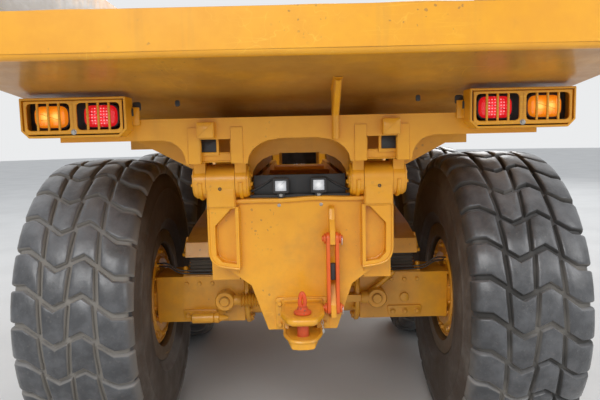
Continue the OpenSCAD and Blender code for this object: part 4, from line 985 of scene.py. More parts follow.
@dataclass
class Wheel:
    """One wheel: the tyre with its blocks, and the rim with its ring, nuts, hub cover and valve."""

    place: str
    radius: float = 0.8045
    pitches: int = 28
    cross_groove: float = 0.028
    tread_half: float = 0.27
    lug_depth: float = 0.026
    draft: float = 0.003
    rim_lip: float = 0.380
    lip_out: float = 0.256
    nut_circle: float = 0.262
    nut_count: int = 20
    nut_face: float = 0.074
    hub_face: float = 0.2155
    top_line: tuple[tuple[float, float, float], ...] = ((0.0, 0.0, 0.8045), (0.06, 0.06, 0.8038),
                                                        (0.12, 0.12, 0.8012), (0.18, 0.18, 0.7968),
                                                        (0.225, 0.2245, 0.7905), (0.25, 0.2485, 0.7835),
                                                        (0.27, 0.2660, 0.7730), (0.285, 0.2765, 0.7610),
                                                        (0.31, 0.2850, 0.7375), (0.345, 0.2905, 0.7030))
    groove_line: tuple[Pair, ...] = ((-0.7, -0.40), (-0.38, -0.40), (-0.12, 0.17), (0.12, -0.17), (0.38, 0.40),
                                     (0.7, 0.40))
    wall_line: tuple[Pair, ...] = ((0.3187, 0.249), (0.3828, 0.2492), (0.3870, 0.2645), (0.3980, 0.2710),
                                   (0.4180, 0.2795), (0.4400, 0.2875), (0.4460, 0.2935), (0.4580, 0.2945),
                                   (0.4650, 0.2925), (0.4950, 0.2970), (0.5370, 0.2995), (0.5800, 0.2990),
                                   (0.6200, 0.2968), (0.6260, 0.2990), (0.6330, 0.2960), (0.6600, 0.2935),
                                   (0.6880, 0.2900))
    inner_line: tuple[Pair, ...] = ((0.7210, 0.0), (0.7200, 0.135), (0.7120, 0.210), (0.6830, 0.243),
                                    (0.6240, 0.258), (0.5370, 0.262), (0.4020, 0.228), (0.3187, 0.205))

    def centre(self) -> Point:
        """The wheel's centre, from the CAD node's box."""
        lo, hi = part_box("tyre_" + self.place)
        return tuple((lo[k] + hi[k]) / 2 for k in range(3))

    def section(self, along: Array, height: Array) -> tuple[Array, Array]:
        """A point of the tread's section, as distance from the wheel plane and radius.

        The place lies on the top line at a signed length from its middle, and is moved along the line's
        normal by height.

        Args:
            along: Signed lengths from the middle of the tread.
            height: Heights over the top line, negative in the grooves.

        Returns:
            The distances from the wheel plane, and the radii.
        """
        s, x, r = np.array(self.top_line).T
        a = np.abs(along)
        tx, tr = np.interp(a, s, np.gradient(x, s)), np.interp(a, s, np.gradient(r, s))
        size = np.hypot(tx, tr)
        return (np.sign(along) * (np.interp(a, s, x) - height * tr / size),
                np.interp(a, s, r) + height * tx / size)

    def deep(self, along: Array) -> Array:
        """How deep the grooves are: full over the tread, running out down the shoulder."""
        return np.interp(np.abs(along), [0.0, 0.25, 0.31, 0.345],
                         [self.lug_depth, self.lug_depth, 0.017, 0.004])

    def block(self, stations: Sequence[float], lines: Pair) -> Shape:
        """One block of the tread for each pitch round the tyre.

        The block is a sheet over (across, along): its rows stand at the stations, its columns lie between two
        neighbouring grooves at groove_line(v) + w, and its rim bends down to the root of the grooves.

        Args:
            stations: Places across the tread in widths of the tread, the two edges of the block first and last.
            lines: How far each of the two edges slants over a pitch, in widths of the tread.

        Returns:
            All the blocks, in the wheel's own axes with X outward.
        """
        v = np.asarray(stations, float)
        near, far = 0.0035 / (2 * self.tread_half), 0.011 / (2 * self.tread_half)
        rows_v = np.concatenate([[v[0], v[0], v[0] + near, v[0] + far], v[1:-1],
                                 [v[-1] - far, v[-1] - near, v[-1], v[-1]]])
        w = np.array([0.0, 0.0, 0.024, 0.075, 0.5, 0.925, 0.976, 1.0, 1.0])
        level_row = np.concatenate([[0, 1, 2], np.full(len(rows_v) - 6, 3), [2, 1, 0]])
        level = np.minimum(level_row[:, None], np.array([0, 1, 2, 3, 3, 3, 2, 1, 0])[None])
        share = np.linspace(0, 1, len(rows_v))[:, None]
        slant = (lines[0] * (1 - share) + lines[1] * share) * (w[None] - 0.5)
        across = rows_v[:, None] + slant
        pitch = 2 * math.pi * self.radius / self.pitches
        gap = self.cross_groove / 2 / pitch
        knots = np.array(self.groove_line)
        start = np.interp(across, knots[:, 0], knots[:, 1]) + gap
        around = start + w[None] * (1 - 2 * gap)
        bottom = (level == 0).astype(float)
        out_v = np.sign(share - 0.5) * (level_row == 0)[:, None]
        out_w = np.sign(w - 0.5)[None] * np.array([1] + [0] * 7 + [1])
        along = (across + bottom * out_v * self.draft / (2 * self.tread_half)) * 2 * self.tread_half
        around = around + bottom * out_w * self.draft / pitch
        height = np.where(level == 0, -(self.deep(along) + 0.003),
                          np.array([0.0, -0.0075, -0.0024, 0.0])[level])
        x, r = self.section(along, height)
        turn = (around[None] + np.arange(self.pitches)[:, None, None]) * 2 * math.pi / self.pitches
        x, r = np.broadcast_to(x, turn.shape), np.broadcast_to(r, turn.shape)
        points = np.stack([x, r * np.cos(turn), r * np.sin(turn)], -1)
        rows, columns = level.shape
        one = grid(points[0], ring=False, caps=False)
        index = np.arange(rows * columns).reshape(rows, columns)
        rim = np.concatenate([index[0], index[1:, -1], index[-1, -2::-1], index[-2:0:-1, 0]])
        closed = Shape(one.points, [one.faces[0], rim[None, ::-1]])
        middle = points[0, rows // 2, columns // 2]
        a, b, c = (closed.points[closed.faces[0][len(closed.faces[0]) // 2][k]] for k in range(3))
        if np.dot(np.cross(b - a, c - a), middle * [0, 1, 1]) < 0:
            closed = Shape(closed.points, [closed.faces[0][:, ::-1], closed.faces[1]])
        else:
            closed = Shape(closed.points, [closed.faces[0], rim[None]])
        steps = (np.arange(self.pitches) * rows * columns)[:, None, None]
        faces = [(f[None] + steps).reshape(-1, f.shape[1]) for f in closed.faces]
        worn = np.array([0.0, 0.46, 0.80, 1.0])[level] * np.interp(np.abs(along), [0.235, 0.30], [1.0, 0.55])
        return Shape(points.reshape(-1, 3), faces, np.tile(worn.ravel(), self.pitches))

    def casing(self) -> Shape:
        """The tyre's body: beads, side walls and the ground of the grooves, turned round the wheel's axis."""
        along = np.array([0.335, 0.315, 0.295, 0.28, 0.265, 0.25, 0.22, 0.18, 0.12, 0.06, 0.0])
        x, r = self.section(along, -self.deep(along))
        wall = np.array(self.wall_line)
        half = np.concatenate([wall, np.stack([r, x], -1)])
        value = np.concatenate([np.full(len(wall), 2.0),
                                np.interp(along, [0.25, 0.30, 0.335], [0.0, 0.5, 1.9])])
        inner = np.array(self.inner_line)
        ring = np.concatenate([half, half[-2::-1] * [1, -1], inner[::-1] * [1, -1], inner[1:]])
        depth = np.concatenate([value, value[-2::-1], np.full(2 * len(inner) - 1, 2.0)])
        made = lathe(ring, Axis.X, (0, 0, 0), self.pitches * 4, closed=True)
        return Shape(made.points, made.faces, np.repeat(depth, self.pitches * 4))

    def rim_parts(self) -> dict[str, Shape]:
        """The rim's ring, nuts, cover bolts and valve, in the wheel's own axes with X outward."""
        lips = [lathe([(self.rim_lip + 0.004 * math.cos(t), s * self.lip_out + 0.008 * math.sin(t))
                       for t in np.arange(8) * math.pi / 4], Axis.X, (0, 0, 0), 72, closed=True)
                       for s in (-1, 1)]
        ring = lathe([(0.3025, 0.235), (0.3025, 0.2585), (0.3100, 0.2655), (0.3220, 0.2655), (0.3240, 0.2600),
                      (0.3240, 0.235)], Axis.X, (0, 0, 0), 72, closed=True)
        seat = lathe([(0.207, 0.0635), (0.207, 0.070), (0.235, 0.074), (0.292, 0.074), (0.298, 0.068),
                      (0.298, 0.0635)], Axis.X, (0, 0, 0), 64, closed=True)
        cover = lathe([(0.058, self.hub_face - 0.004), (0.058, self.hub_face + 0.012),
                       (0.052, self.hub_face + 0.017)], Axis.X, (0, 0, 0), 32)
        rib = lathe([(0.176, 0.176), (0.205, 0.176), (0.2115, 0.170), (0.2115, 0.150), (0.205, 0.144),
                     (0.176, 0.144)], Axis.X, (0, 0, 0), 64, closed=True)
        places = circle_places(Axis.X, (self.nut_face, 0, 0), self.nut_circle, self.nut_count)
        nuts = bolts(0.0155, 0.022, places, (1, 0, 0))
        studs = repeat(lathe([(0.0085, 0.0), (0.0085, 0.031), (0.006, 0.034)], Axis.Z, (0, 0, 0), 8), places,
                       np.broadcast_to(facing((1, 0, 0)), (self.nut_count, 3, 3)))
        small = bolts(0.009, 0.010, circle_places(Axis.X, (0.1755, 0, 0), 0.193, 16, 11), (1, 0, 0))
        plugs = bolts(0.016, 0.014, circle_places(Axis.X, (self.hub_face - 0.002, 0, 0), 0.086, 2, 40),
                      (1, 0, 0))
        valve = bent([(0.18, 0.285, 0.05), (0.215, 0.287, 0.05), (0.245, 0.276, 0.05)], 0.012, 0.006, 8)
        return {"yellow": join(lips + [ring, seat, cover, rib]),
                "steel": join([nuts, studs, small, plugs, valve])}

    def build(self) -> None:
        """Makes the tyre, which stands for the CAD tyre, and the parts on the rim."""
        centre, body = self.centre(), "wheel_" + self.place
        side = math.copysign(1.0, centre[0])
        shoulder = [0.2585, 0.32, 0.385, 0.463, 0.50, 0.528, 0.574, 0.615]
        inner = [0.0195, 0.07, 0.12, 0.17, 0.2180]
        mirrored = lambda values: [-v for v in values[::-1]]
        blocks = [self.block(shoulder, (0.02, 0.0)), self.block(inner, (-0.03, 0.02)),
                  self.block(mirrored(inner), (0.02, -0.03)), self.block(mirrored(shoulder), (0.0, 0.02))]
        tyre = join([self.casing()] + blocks)
        put = lambda s: (s if side > 0 else s.turned("Z", 180.0)).moved(*centre)
        made = piece("tyre_tread_" + self.place, put(tyre), TYRE, body, 38.0, ["tyre_" + self.place])
        parts = self.rim_parts()
        piece("rim_rings_" + self.place, put(parts["yellow"]), WHEEL_YELLOW, body)
        piece("rim_nuts_" + self.place, put(parts["steel"]), STEEL, body)


@dataclass
class Bogie:
    """What the two rear axles carry: ribbed rubber blocks, bolted saddles, rods, pipes and brake bolts."""

    axles: Pair = (-1.855, -3.525)
    wheel_z: float = 0.805
    block_x: Pair = (0.508, 0.652)
    block_z: Pair = (0.9403, 1.0447)
    block_half: float = 0.082
    layers: int = 5
    saddle_x: Pair = (0.490, 0.680)
    saddle_half: float = 0.110
    brake_face: float = 0.848
    rod_y: float = -3.705

    def rubber(self, y: float) -> Shape:
        """A block of rubber bulging between steel plates: the outline goes in and out with height, cos-shaped.
        """
        outline = rect(self.block_x[0], self.block_x[1], y - self.block_half, y + self.block_half, 0.014)
        z0, z1 = self.block_z
        t = np.linspace(0, 1, self.layers * 8 + 1)
        wave = 0.5 - 0.5 * np.cos(t * self.layers * 2 * math.pi)
        rings = np.stack([inset(outline, 0.010 * (1 - w)) for w in wave])
        return loft(rings, Axis.Z, z0 + t * (z1 - z0))

    def saddle(self, y: float) -> tuple[Shape, Shape]:
        """Cheek plates over one saddle with their bolts, as (painted, steel)."""
        x0, x1 = self.saddle_x
        painted, steel = [], []
        for s in (-1, 1):
            face = y + s * self.saddle_half
            outline = rounded([(x0 - 0.012, 0.842), (x1 + 0.012, 0.842), (x1 + 0.004, 0.938),
                               (x0 - 0.004, 0.938)], 0.012)
            low = rounded([(x0 + 0.006, 0.682), (x1 - 0.006, 0.682), (x1 + 0.006, 0.742), (x0 - 0.006, 0.742)],
                          0.012)
            for o, out in ((outline, 0.014), (low, 0.034)):
                painted.append(prism(o, Axis.Y, min(face, face + s * out), max(face, face + s * out), 0.004))
            rows = [(x, face + s * 0.014, 0.893) for x in (x0 + 0.022, (x0 + x1) / 2, x1 - 0.022)]
            rows += [(x, face + s * 0.034, 0.712) for x in (x0 + 0.026, (x0 + x1) / 2, x1 - 0.026)]
            steel.append(bolts(0.0125, 0.016, rows, (0, s, 0)))
            for x in (x0 + 0.012, x1 - 0.012):
                steel.append(drum(0.0125, Axis.Z, (x, face - s * 0.014, 0.936), 0.052, 0.004, 20))
                steel.append(lathe([(0.019, 0.936), (0.019, 0.952), (0.016, 0.956)], Axis.Z,
                                   (x, face - s * 0.014, 0), 6))
            painted.append(prism(rounded([(0.652, 1.060), (0.682, 1.060), (0.662, 1.150), (0.652, 1.156)],
                                         0.004), Axis.Y, y + s * 0.062 - 0.006, y + s * 0.062 + 0.006, 0.002))
        painted.append(slab((0.476, y - 0.104, 1.0455), (0.684, y + 0.104, 1.0640), 0.004, Axis.Z, 0.012))
        return join(painted), join(steel)

    def brakes(self, y: float) -> tuple[Shape, Shape]:
        """The face of the brake housing: a raised ring, paired bolts and a bleed plug, as (painted, steel)."""
        x, at = self.brake_face, (0.0, y, self.wheel_z)
        ring = lathe([(0.125, x + 0.004), (0.205, x - 0.016), (0.214, x - 0.016), (0.228, x + 0.004)], Axis.X,
                     at, 64, closed=True)
        rim = lathe([(0.272, x + 0.006), (0.272, x - 0.006), (0.282, x - 0.006), (0.288, x + 0.006)], Axis.X,
                    at, 64, closed=True)
        pairs = np.concatenate([circle_places(Axis.X, (x - 0.0005, y, self.wheel_z), 0.250, 9, a)
                                for a in (-5, 5)])
        inner = circle_places(Axis.X, (x - 0.001, y, self.wheel_z), 0.166, 12, 15)
        inner[:, 0] -= 0.004
        steel = [bolts(0.0125, 0.016, pairs, (-1, 0, 0)), bolts(0.010, 0.013, inner, (-1, 0, 0))]
        port = drum(0.016, Axis.X, (x, y - 0.095, self.wheel_z + 0.2), -0.03)
        return join([ring, rim, port]), join(steel)

    def flanges(self, y: float) -> Shape:
        """The bolted joints between the differential and the axle tubes, and the cover of its nose."""
        rings = [lathe([(0.120, s * 0.300), (0.172, s * 0.300), (0.178, s * 0.306), (0.178, s * 0.322),
                        (0.172, s * 0.328), (0.120, s * 0.328)], Axis.X, (0, y, self.wheel_z), 48, closed=True)
                        for s in (-1, 1)]
        heads = [bolts(0.011, 0.012, circle_places(Axis.X, (s * 0.299, y, self.wheel_z), 0.156, 14),
                       (-s, 0, 0)) for s in (-1, 1)]
        nose = lathe([(0.10, 0.40), (0.150, 0.40), (0.150, 0.432), (0.10, 0.436)], Axis.Y, (0, y, self.wheel_z),
                     40)
        return join(rings + heads + [nose])

    def rods(self) -> tuple[Shape, Shape, Shape]:
        """The rod across the last axle with its eyes and spring sleeve, as (eyes and bars, caps, sleeve), all
        painted.
        """
        y, z = self.rod_y, self.wheel_z
        eyes = [lathe([(0.030, -0.030), (0.050, -0.032), (0.055, -0.024), (0.055, 0.052), (0.030, 0.056)],
                      Axis.Y, (x, y, z), 32, closed=True) for x in (-0.435, 0.420)]
        caps = [lathe([(0.029, -0.036), (0.029, -0.026), (0.024, -0.040)][::-1], Axis.Y, (x, y, z), 24)
                for x in (-0.435, 0.420)]
        t = np.linspace(0, 1, 8 * 9 + 1)
        sleeve = lathe(np.stack([0.036 + 0.006 * np.cos(t * 8 * 2 * math.pi), -0.345 + t * 0.135], -1), Axis.X,
                       (0, y, z), 24)
        bar = drum(0.0285, Axis.X, (-0.40, y, z), 0.06, 0.006)
        collar = drum(0.034, Axis.X, (-0.205, y, z), 0.03, 0.006)
        far = drum(0.0335, Axis.X, (0.33, y, z), 0.05, 0.008)
        slant = tube([(0.395, y + 0.01, z + 0.035), (0.52, y + 0.02, z + 0.14)], 0.015, 12)
        plug = drum(0.026, Axis.Y, (0.585, -3.649, 0.79), -0.022, 0.005)
        end = lathe([(0.020, -0.625), (0.029, -0.618), (0.029, -0.500), (0.024, -0.497), (0.030, -0.494),
                     (0.030, -0.470), (0.022, -0.466), (0.012, -0.425), (0.005, -0.417)], Axis.X,
                     (0, -3.725, 0.712), 28)
        return join(eyes + [bar, collar, far, plug, slant, end]), join(caps), sleeve

    def pipes(self, y: float) -> Shape:
        """Thin brake pipes from the axle tube up and over to the brake housing."""
        lines = []
        for k, up in enumerate((0.0, 0.022)):
            lines.append(bent([(0.30, y - 0.10 + up, 0.925), (0.46, y - 0.116 - up, 0.944 + up),
                               (0.70, y - 0.115 - up, 0.950 + up), (0.76, y - 0.13 - up, 1.00 + up),
                               (0.815, y - 0.10 - up, 0.99 + up), (0.838, y - 0.095, 1.005)], 0.035, 0.0045, 8))
        return join(lines)

    def build(self) -> None:
        """Makes the parts of both axles."""
        piece("rubber_stacks", join([self.rubber(y) for y in self.axles]).both(), PLAIN_RUBBER, REAR,
                      50.0, ["rubber_blocks"])
        painted, steel = [], []
        for y in self.axles:
            for part in (self.saddle(y), self.brakes(y)):
                painted.append(part[0].both())
                steel.append(part[1].both())
            painted.append(self.flanges(y))
        rods = self.rods()
        piece("axle_plates", join(painted + [rods[0]]), YELLOW, REAR)
        piece("axle_bolts", join(steel + [rods[1]]), YELLOW, REAR)
        piece("rod_spring_sleeve", rods[2], YELLOW, REAR)
        piece("brake_pipes", join([self.pipes(y).both() for y in self.axles]), BLACK, REAR)


def ring_prism(outer: Array, inner: Array, axis: Axis, lo: float, hi: float, edge: float = 0.003) -> Shape:
    """A plate with a hole: two outlines of equally many points carried along an axis, all four rims rounded.

    Args:
        outer: The outer outline.
        inner: The hole's outline.
        axis: The axis that both are carried along.
        lo: Where the plate starts.
        hi: Where it ends.
        edge: The radius of its rims.

    Returns:
        The closed shape.
    """
    out_in, in_out = inset(outer, edge), inset(inner, -edge)
    rings = [out_in, outer, outer, out_in, in_out, inner, inner, in_out]
    along = [lo, lo + edge, hi - edge, hi, hi, hi - edge, lo + edge, lo]
    return loft(np.stack(rings), axis, np.array(along), loop=True)


def stadium(a: Sequence[float], b: Sequence[float], radius: float, steps: int = 10) -> Array:
    """The outline round two points: half a circle round each, as (2 * steps + 2, 2)."""
    a, b = np.asarray(a, float), np.asarray(b, float)
    base = math.atan2(*(b - a)[::-1]) + math.pi / 2
    t = np.linspace(0, math.pi, steps + 1)
    first = a + radius * np.stack([np.cos(base + t), np.sin(base + t)], -1)
    return np.concatenate([first,
                           b + radius * np.stack([np.cos(base + math.pi + t), np.sin(base + math.pi + t)], -1)])


@dataclass
class TailPlate:
    """The tail plate's rolled top, its welds, the post caps, bolts and the two work lamps."""

    face: float = -4.295
    beam: Pair = (0.2865, 0.4135)
    top: float = 1.440
    foot: float = 0.830
    lamp_x: Pair = (0.048, 0.122)
    lamp_z: Pair = (1.462, 1.532)
    lamp_y: Pair = (-4.309, -4.266)

    def rolled_edge(self) -> Shape:
        """The top edge bent back over the plate: a bar whose height wavers along X as sin(9x) + sin(23x)."""
        x = np.linspace(-self.beam[0] - 0.002, self.beam[0] + 0.002, 49)
        waver = 0.0035 * np.sin(9 * x + 0.6) + 0.0018 * np.sin(23 * x)
        section = rounded([(-0.012, -0.012), (0.022, -0.012), (0.022, 0.006), (-0.012, 0.010)], 0.005, 3)
        points = np.zeros((len(x), len(section), 3))
        points[..., 0] = x[:, None]
        points[..., 1] = self.face + 0.004 - section[None, :, 0]
        points[..., 2] = self.top - 0.004 + waver[:, None] + section[None, :, 1]
        return grid(points)

    def welds(self) -> Shape:
        """The weld beads of one half: round the post, the side pocket, the strut's lugs and the hitch."""
        x0, x1, y = self.beam[0], self.beam[1], self.face
        out = y - 0.045
        beads = [[(x0, y, 1.10), (x0, y, 1.43)], [(x0 - 0.012, y, 1.13), (x0 - 0.012, y, 1.40)],
                 [(x0 + 0.004, y - 0.002, 1.15), (x0 + 0.004, y - 0.002, 1.40)],
                 [(x0 - 0.010, y - 0.001, 1.147), (x1 - 0.066, y - 0.001, 1.158),
                  (x1 - 0.036, y - 0.001, 1.188), (x1 - 0.034, y - 0.001, 1.322),
                  (x0 + 0.020, y - 0.001, 1.404)], [(x0, out, 1.407), (x1, out, 1.407)],
                  [(x0 - 0.014, y, 1.123), (x1 - 0.040, y, 1.137)],
                  [(x1, y - 0.004, 1.20), (x1, y - 0.004, 1.40)]]
        return join([weld(b, 0.0045, 0.02) for b in beads])

    def pocket_lip(self) -> Shape:
        """The rounded rim that runs along the outer flange of a side pocket."""
        x1, out = self.beam[1], self.face - 0.045
        path = smooth_path([(x1 - 0.004, out, 1.402), (x1 - 0.004, out, 1.200), (x1 - 0.016, out, 1.166),
                            (x1 - 0.046, out, 1.142), (0.276, out, 1.128)], 0.03)
        return tube(path, 0.0055, 8)

    def caps(self) -> tuple[Shape, Shape]:
        """The flat cap on a post's back with its edge rounded, and its grease nipple, as (painted, steel)."""
        x0, x1 = self.beam
        cap = slab((x0 + 0.004, self.face - 0.052, 1.410), (x1 - 0.004, self.face - 0.040, 1.512), 0.004,
                   Axis.Y, 0.008)
        hole = lathe([(0.0035, 0.0), (0.0075, 0.0), (0.0075, -0.004), (0.0035, -0.004)], Axis.Y,
                     ((x0 + x1) / 2 + 0.002, self.face - 0.052, 1.492), 16, closed=True)
        return cap, hole

    def strut_lug(self) -> Shape:
        """The rounded lug over the prop strut's upper end, and the shim between its bars."""
        fin = [(-4.297, 1.30), (-4.375, 1.235), (-4.375, 1.285), (-4.357, 1.318), (-4.335, 1.395),
               (-4.310, 1.405), (-4.297, 1.395)]
        return prism(rounded(fin, 0.012), Axis.X, 0.1265, 0.1535, 0.005)

    def work_lamp(self) -> dict[str, Shape]:
        """One square lamp, as its housing, frame, lens and bolts: the housing swells forward as sqrt(1 - t)."""
        x0, x1 = self.lamp_x
        z0, z1 = self.lamp_z
        y0, y1 = self.lamp_y
        face = rect(x0, x1, z0, z1, 0.010, 4)
        t = np.linspace(0, 1, 7)
        rings = np.stack([inset(face, d) for d in [0.004, 0.0, *(0.016 * t[1:] ** 2)]])
        along = np.array([y0 + 0.001, y0 + 0.006, *(y0 + 0.006 + (y1 - y0 - 0.008) * np.sqrt(t[1:]))])
        rim = ring_prism(inset(face, 0.001), inset(face, 0.011), Axis.Y, y0 - 0.006, y0 + 0.004, 0.002)
        fins = [slab((x0 + 0.012 + k * 0.0095, y0 + 0.012, z0 - 0.001),
                     (x0 + 0.0155 + k * 0.0095, y1 - 0.010, z1 + 0.0015), 0.001) for k in range(6)]
        lens = prism(inset(face, 0.0112), Axis.Y, y0 - 0.003, y0 + 0.003, 0.002)
        middle = (x0 + x1) / 2
        foot = prism(rounded([(middle - 0.012, z0 - 0.022), (middle + 0.012, z0 - 0.022),
                              (middle + 0.018, z0 - 0.004), (middle + 0.018, z0 + 0.006),
                              (middle - 0.018, z0 + 0.006), (middle - 0.018, z0 - 0.004)], 0.003), Axis.Y,
                              y0 + 0.004, y0 + 0.024, 0.002)
        heads = bolts(0.006, 0.006,
                      [(middle, y0 + 0.004, z0 - 0.008), (middle + 0.01, self.face, self.top - 0.032)],
                      (0, -1, 0))
        return {"case": join([loft(rings, Axis.Y, along), rim] + fins + [foot]), "lens": lens, "steel": heads}

    def build(self) -> None:
        """Makes the plate's parts and the lamps that stand on it."""
        cap, hole = self.caps()
        piece("tail_plate_edges",
              join([self.rolled_edge(), self.pocket_lip().both(), self.welds().both(), cap.both(),
                    self.strut_lug()]), YELLOW, REAR)
        lamp = self.work_lamp()
        bar = join([slab((-0.2255, -4.291, 1.4405), (0.2255, -4.266, 1.4560), 0.003, Axis.X),
                    slab((-0.2090, -4.262, 1.4405), (0.2090, -4.248, 1.5440), 0.003, Axis.X), hole.both()])
        cable = [bent([(0.085, -4.268, 1.515), (0.11, -4.258, 1.535), (0.16, -4.266, 1.500),
                       (0.222, -4.268, 1.470)], 0.03, 0.005, 8)]
        piece("work_lamp_cases", join([lamp["case"].both(), bar, join(cable).both()]), PLASTIC, REAR, 40.0,
              ["work_lamps"])
        piece("work_lamp_lenses", lamp["lens"].both(), WORK_LIGHT, REAR)
        piece("tail_plate_bolts", lamp["steel"].both(), STEEL, REAR)


@dataclass
class TowHitch:
    """The tow hitch's base plate, its welds, and the pin with its collar, handle and clip."""

    face: float = -4.325
    pin_y: float = -4.490
    jaw_top: float = 0.963
    pin_foot: float = 0.812
    plate_x: float = 0.122
    plate_z: Pair = (0.836, 0.984)

    def plate(self) -> tuple[Shape, Shape]:
        """The base plate with its bolts, as (painted, steel)."""
        x, (z0, z1) = self.plate_x, self.plate_z
        slab_part = slab((-x, self.face + 0.012, z0), (x, self.face + 0.031, z1), 0.004, Axis.Y, 0.012)
        wedges = prism(rounded([(-0.090, 0.980), (0.090, 0.980), (0.082, 0.966), (-0.082, 0.966)], 0.004),
                       Axis.Y, self.face - 0.004, self.face + 0.014, 0.003)
        places = [(s * (x - 0.018), self.face + 0.012, z) for s in (-1, 1) for z in (z0 + 0.024, z1 - 0.026)]
        return join([slab_part, wedges]), bolts(0.0115, 0.012, places, (0, -1, 0))

    def jaw_seams(self) -> Shape:
        """Weld beads along the jaws and the rounded edge of the throat."""
        y, lip = self.face, self.pin_y
        jaw = ((0.080, 0.930, 0.080, 0.960), (0.079, 0.868, 0.052, 0.828))
        beads = [weld([(s * x0, y, z0), (s * x1, y, z1)], 0.004) for x0, z0, x1, z1 in jaw for s in (-1, 1)]
        edge = bent([(-0.079, y - 0.004, 0.9455), (-0.079, lip + 0.032, 0.9455), (-0.047, lip - 0.060, 0.9455),
                     (0.047, lip - 0.060, 0.9455), (0.079, lip + 0.032, 0.9455), (0.079, y - 0.004, 0.9455)],
                     0.02, 0.0175, 10)
        low = bent([(-0.077, y - 0.004, 0.862), (-0.077, lip + 0.022, 0.862), (-0.050, lip - 0.050, 0.860),
                    (-0.020, lip - 0.062, 0.858), (0.020, lip - 0.062, 0.858), (0.050, lip - 0.050, 0.860),
                    (0.077, lip + 0.022, 0.862), (0.077, y - 0.004, 0.862)], 0.02, 0.009, 8)
        return join(beads + [edge, low])

    def pin(self) -> Shape:
        """The pin with a pointed foot, its collar, and the tall loop of its handle."""
        y, top = self.pin_y, self.jaw_top
        shaft = lathe([(0.012, self.pin_foot), (0.022, self.pin_foot + 0.010), (0.0249, self.pin_foot + 0.022),
                       (0.0249, top + 0.004), (0.0215, top + 0.012), (0.0215, top + 0.030)], Axis.Z, (0, y, 0),
                       32)
        collar = lathe([(0.034, top + 0.0005), (0.038, top + 0.003), (0.038, top + 0.011),
                        (0.033, top + 0.0155), (0.024, top + 0.018), (0.022, top + 0.030),
                        (0.016, top + 0.034)], Axis.Z, (0, y, 0), 36)
        t = np.arange(28) * 2 * math.pi / 28
        loop = np.stack([0.0105 * np.cos(t) * (1 - 0.25 * np.sin(t)), y + 0 * t,
                         top + 0.0585 + 0.0305 * np.sin(t)], -1)
        return join([shaft, collar, tube(loop, 0.0095, 10, loop=True)])

    def clip(self) -> Shape:
        """A bent wire clip through the pin's foot with its short chain."""
        y, z = self.pin_y, self.pin_foot + 0.007
        wire = bent([(-0.034, y, z), (0.030, y, z), (0.044, y, z + 0.014), (0.030, y + 0.003, z + 0.022),
                     (0.006, y - 0.028, z + 0.012)], 0.010, 0.0022, 7)
        t = np.arange(14) * 2 * math.pi / 14
        link = tube(np.stack([0.0042 * np.cos(t), 0 * t, 0.0085 * np.sin(t)], -1), 0.0013, 5, loop=True)
        n = 9
        k = np.linspace(0, 1, n)
        places = np.stack([0.0885 + 0.006 * k, self.face + 0.004 - 0.012 * np.sin(k * 3),
                           0.90 - 0.075 * np.sin(k * math.pi * 0.55)], -1)
        turn = np.stack([np.array(Matrix.Rotation(math.pi / 2 * (i % 2), 3, "Z")) for i in range(n)])
        return join([wire, repeat(link, places, turn)])

    def build(self) -> None:
        """Makes the hitch's parts."""
        painted, steel = self.plate()
        piece("hitch_plate", join([painted, self.jaw_seams()]), YELLOW, REAR)
        piece("hitch_plate_bolts", steel, YELLOW, REAR)
        piece("hitch_pin_handle", self.pin(), PIN_RED, REAR, 40.0, ["hitch_pin"])
        piece("hitch_clip", self.clip(), BRIGHT, REAR)


@dataclass
class PropStrut:
    """The stowed prop: two flat bars with round ends, their pins with collars and the spring clips."""

    x: float = 0.140
    y: float = -4.355
    ends: Pair = (0.945, 1.262)
    end_radius: float = 0.028
    bar_out: Pair = (0.012, 0.028)

    def build(self) -> None:
        """Makes the strut, which stands for the CAD strut, and its clips."""
        outline = stadium((self.y, self.ends[0]), (self.y, self.ends[1]), self.end_radius, 14)
        waist = 1 - 0.30 * np.exp(-(((outline[:, 1] - sum(self.ends) / 2) / 0.12) ** 4))
        outline[:, 0] = self.y + (outline[:, 0] - self.y) * waist
        inner, outer = self.bar_out
        bars = [prism(outline, Axis.X, self.x + lo, self.x + hi, 0.003) for lo,
                hi in ((-outer, -inner), (inner, outer))]
        pins = []
        for z in self.ends:
            pins.append(drum(0.0135, Axis.X, (self.x - 0.047, self.y, z), 0.094, 0.003, 28))
            for s in (-1, 1):
                pins.append(drum(0.0225, Axis.X, (self.x + s * 0.0285, self.y, z), s * 0.010, 0.003, 28))
        piece("prop_strut_bars", join(bars + pins), ORANGE, REAR, 40.0, ["prop_strut"])
        clips = []
        for z in self.ends:
            t = np.linspace(0, 1.75 * math.pi, 22)
            clips.append(tube(np.stack([0 * t + self.x + 0.0415, self.y + 0.019 * np.cos(t),
                                        z - 0.010 + 0.021 * np.sin(t)], -1), 0.0019, 6))
        spacer = slab((self.x - 0.0115, self.y - 0.010, 1.075), (self.x + 0.0115, self.y + 0.014, 1.150), 0.003)
        piece("prop_strut_clips", join(clips), BRIGHT, REAR)
        piece("prop_strut_spacer", spacer, BLACK, REAR)


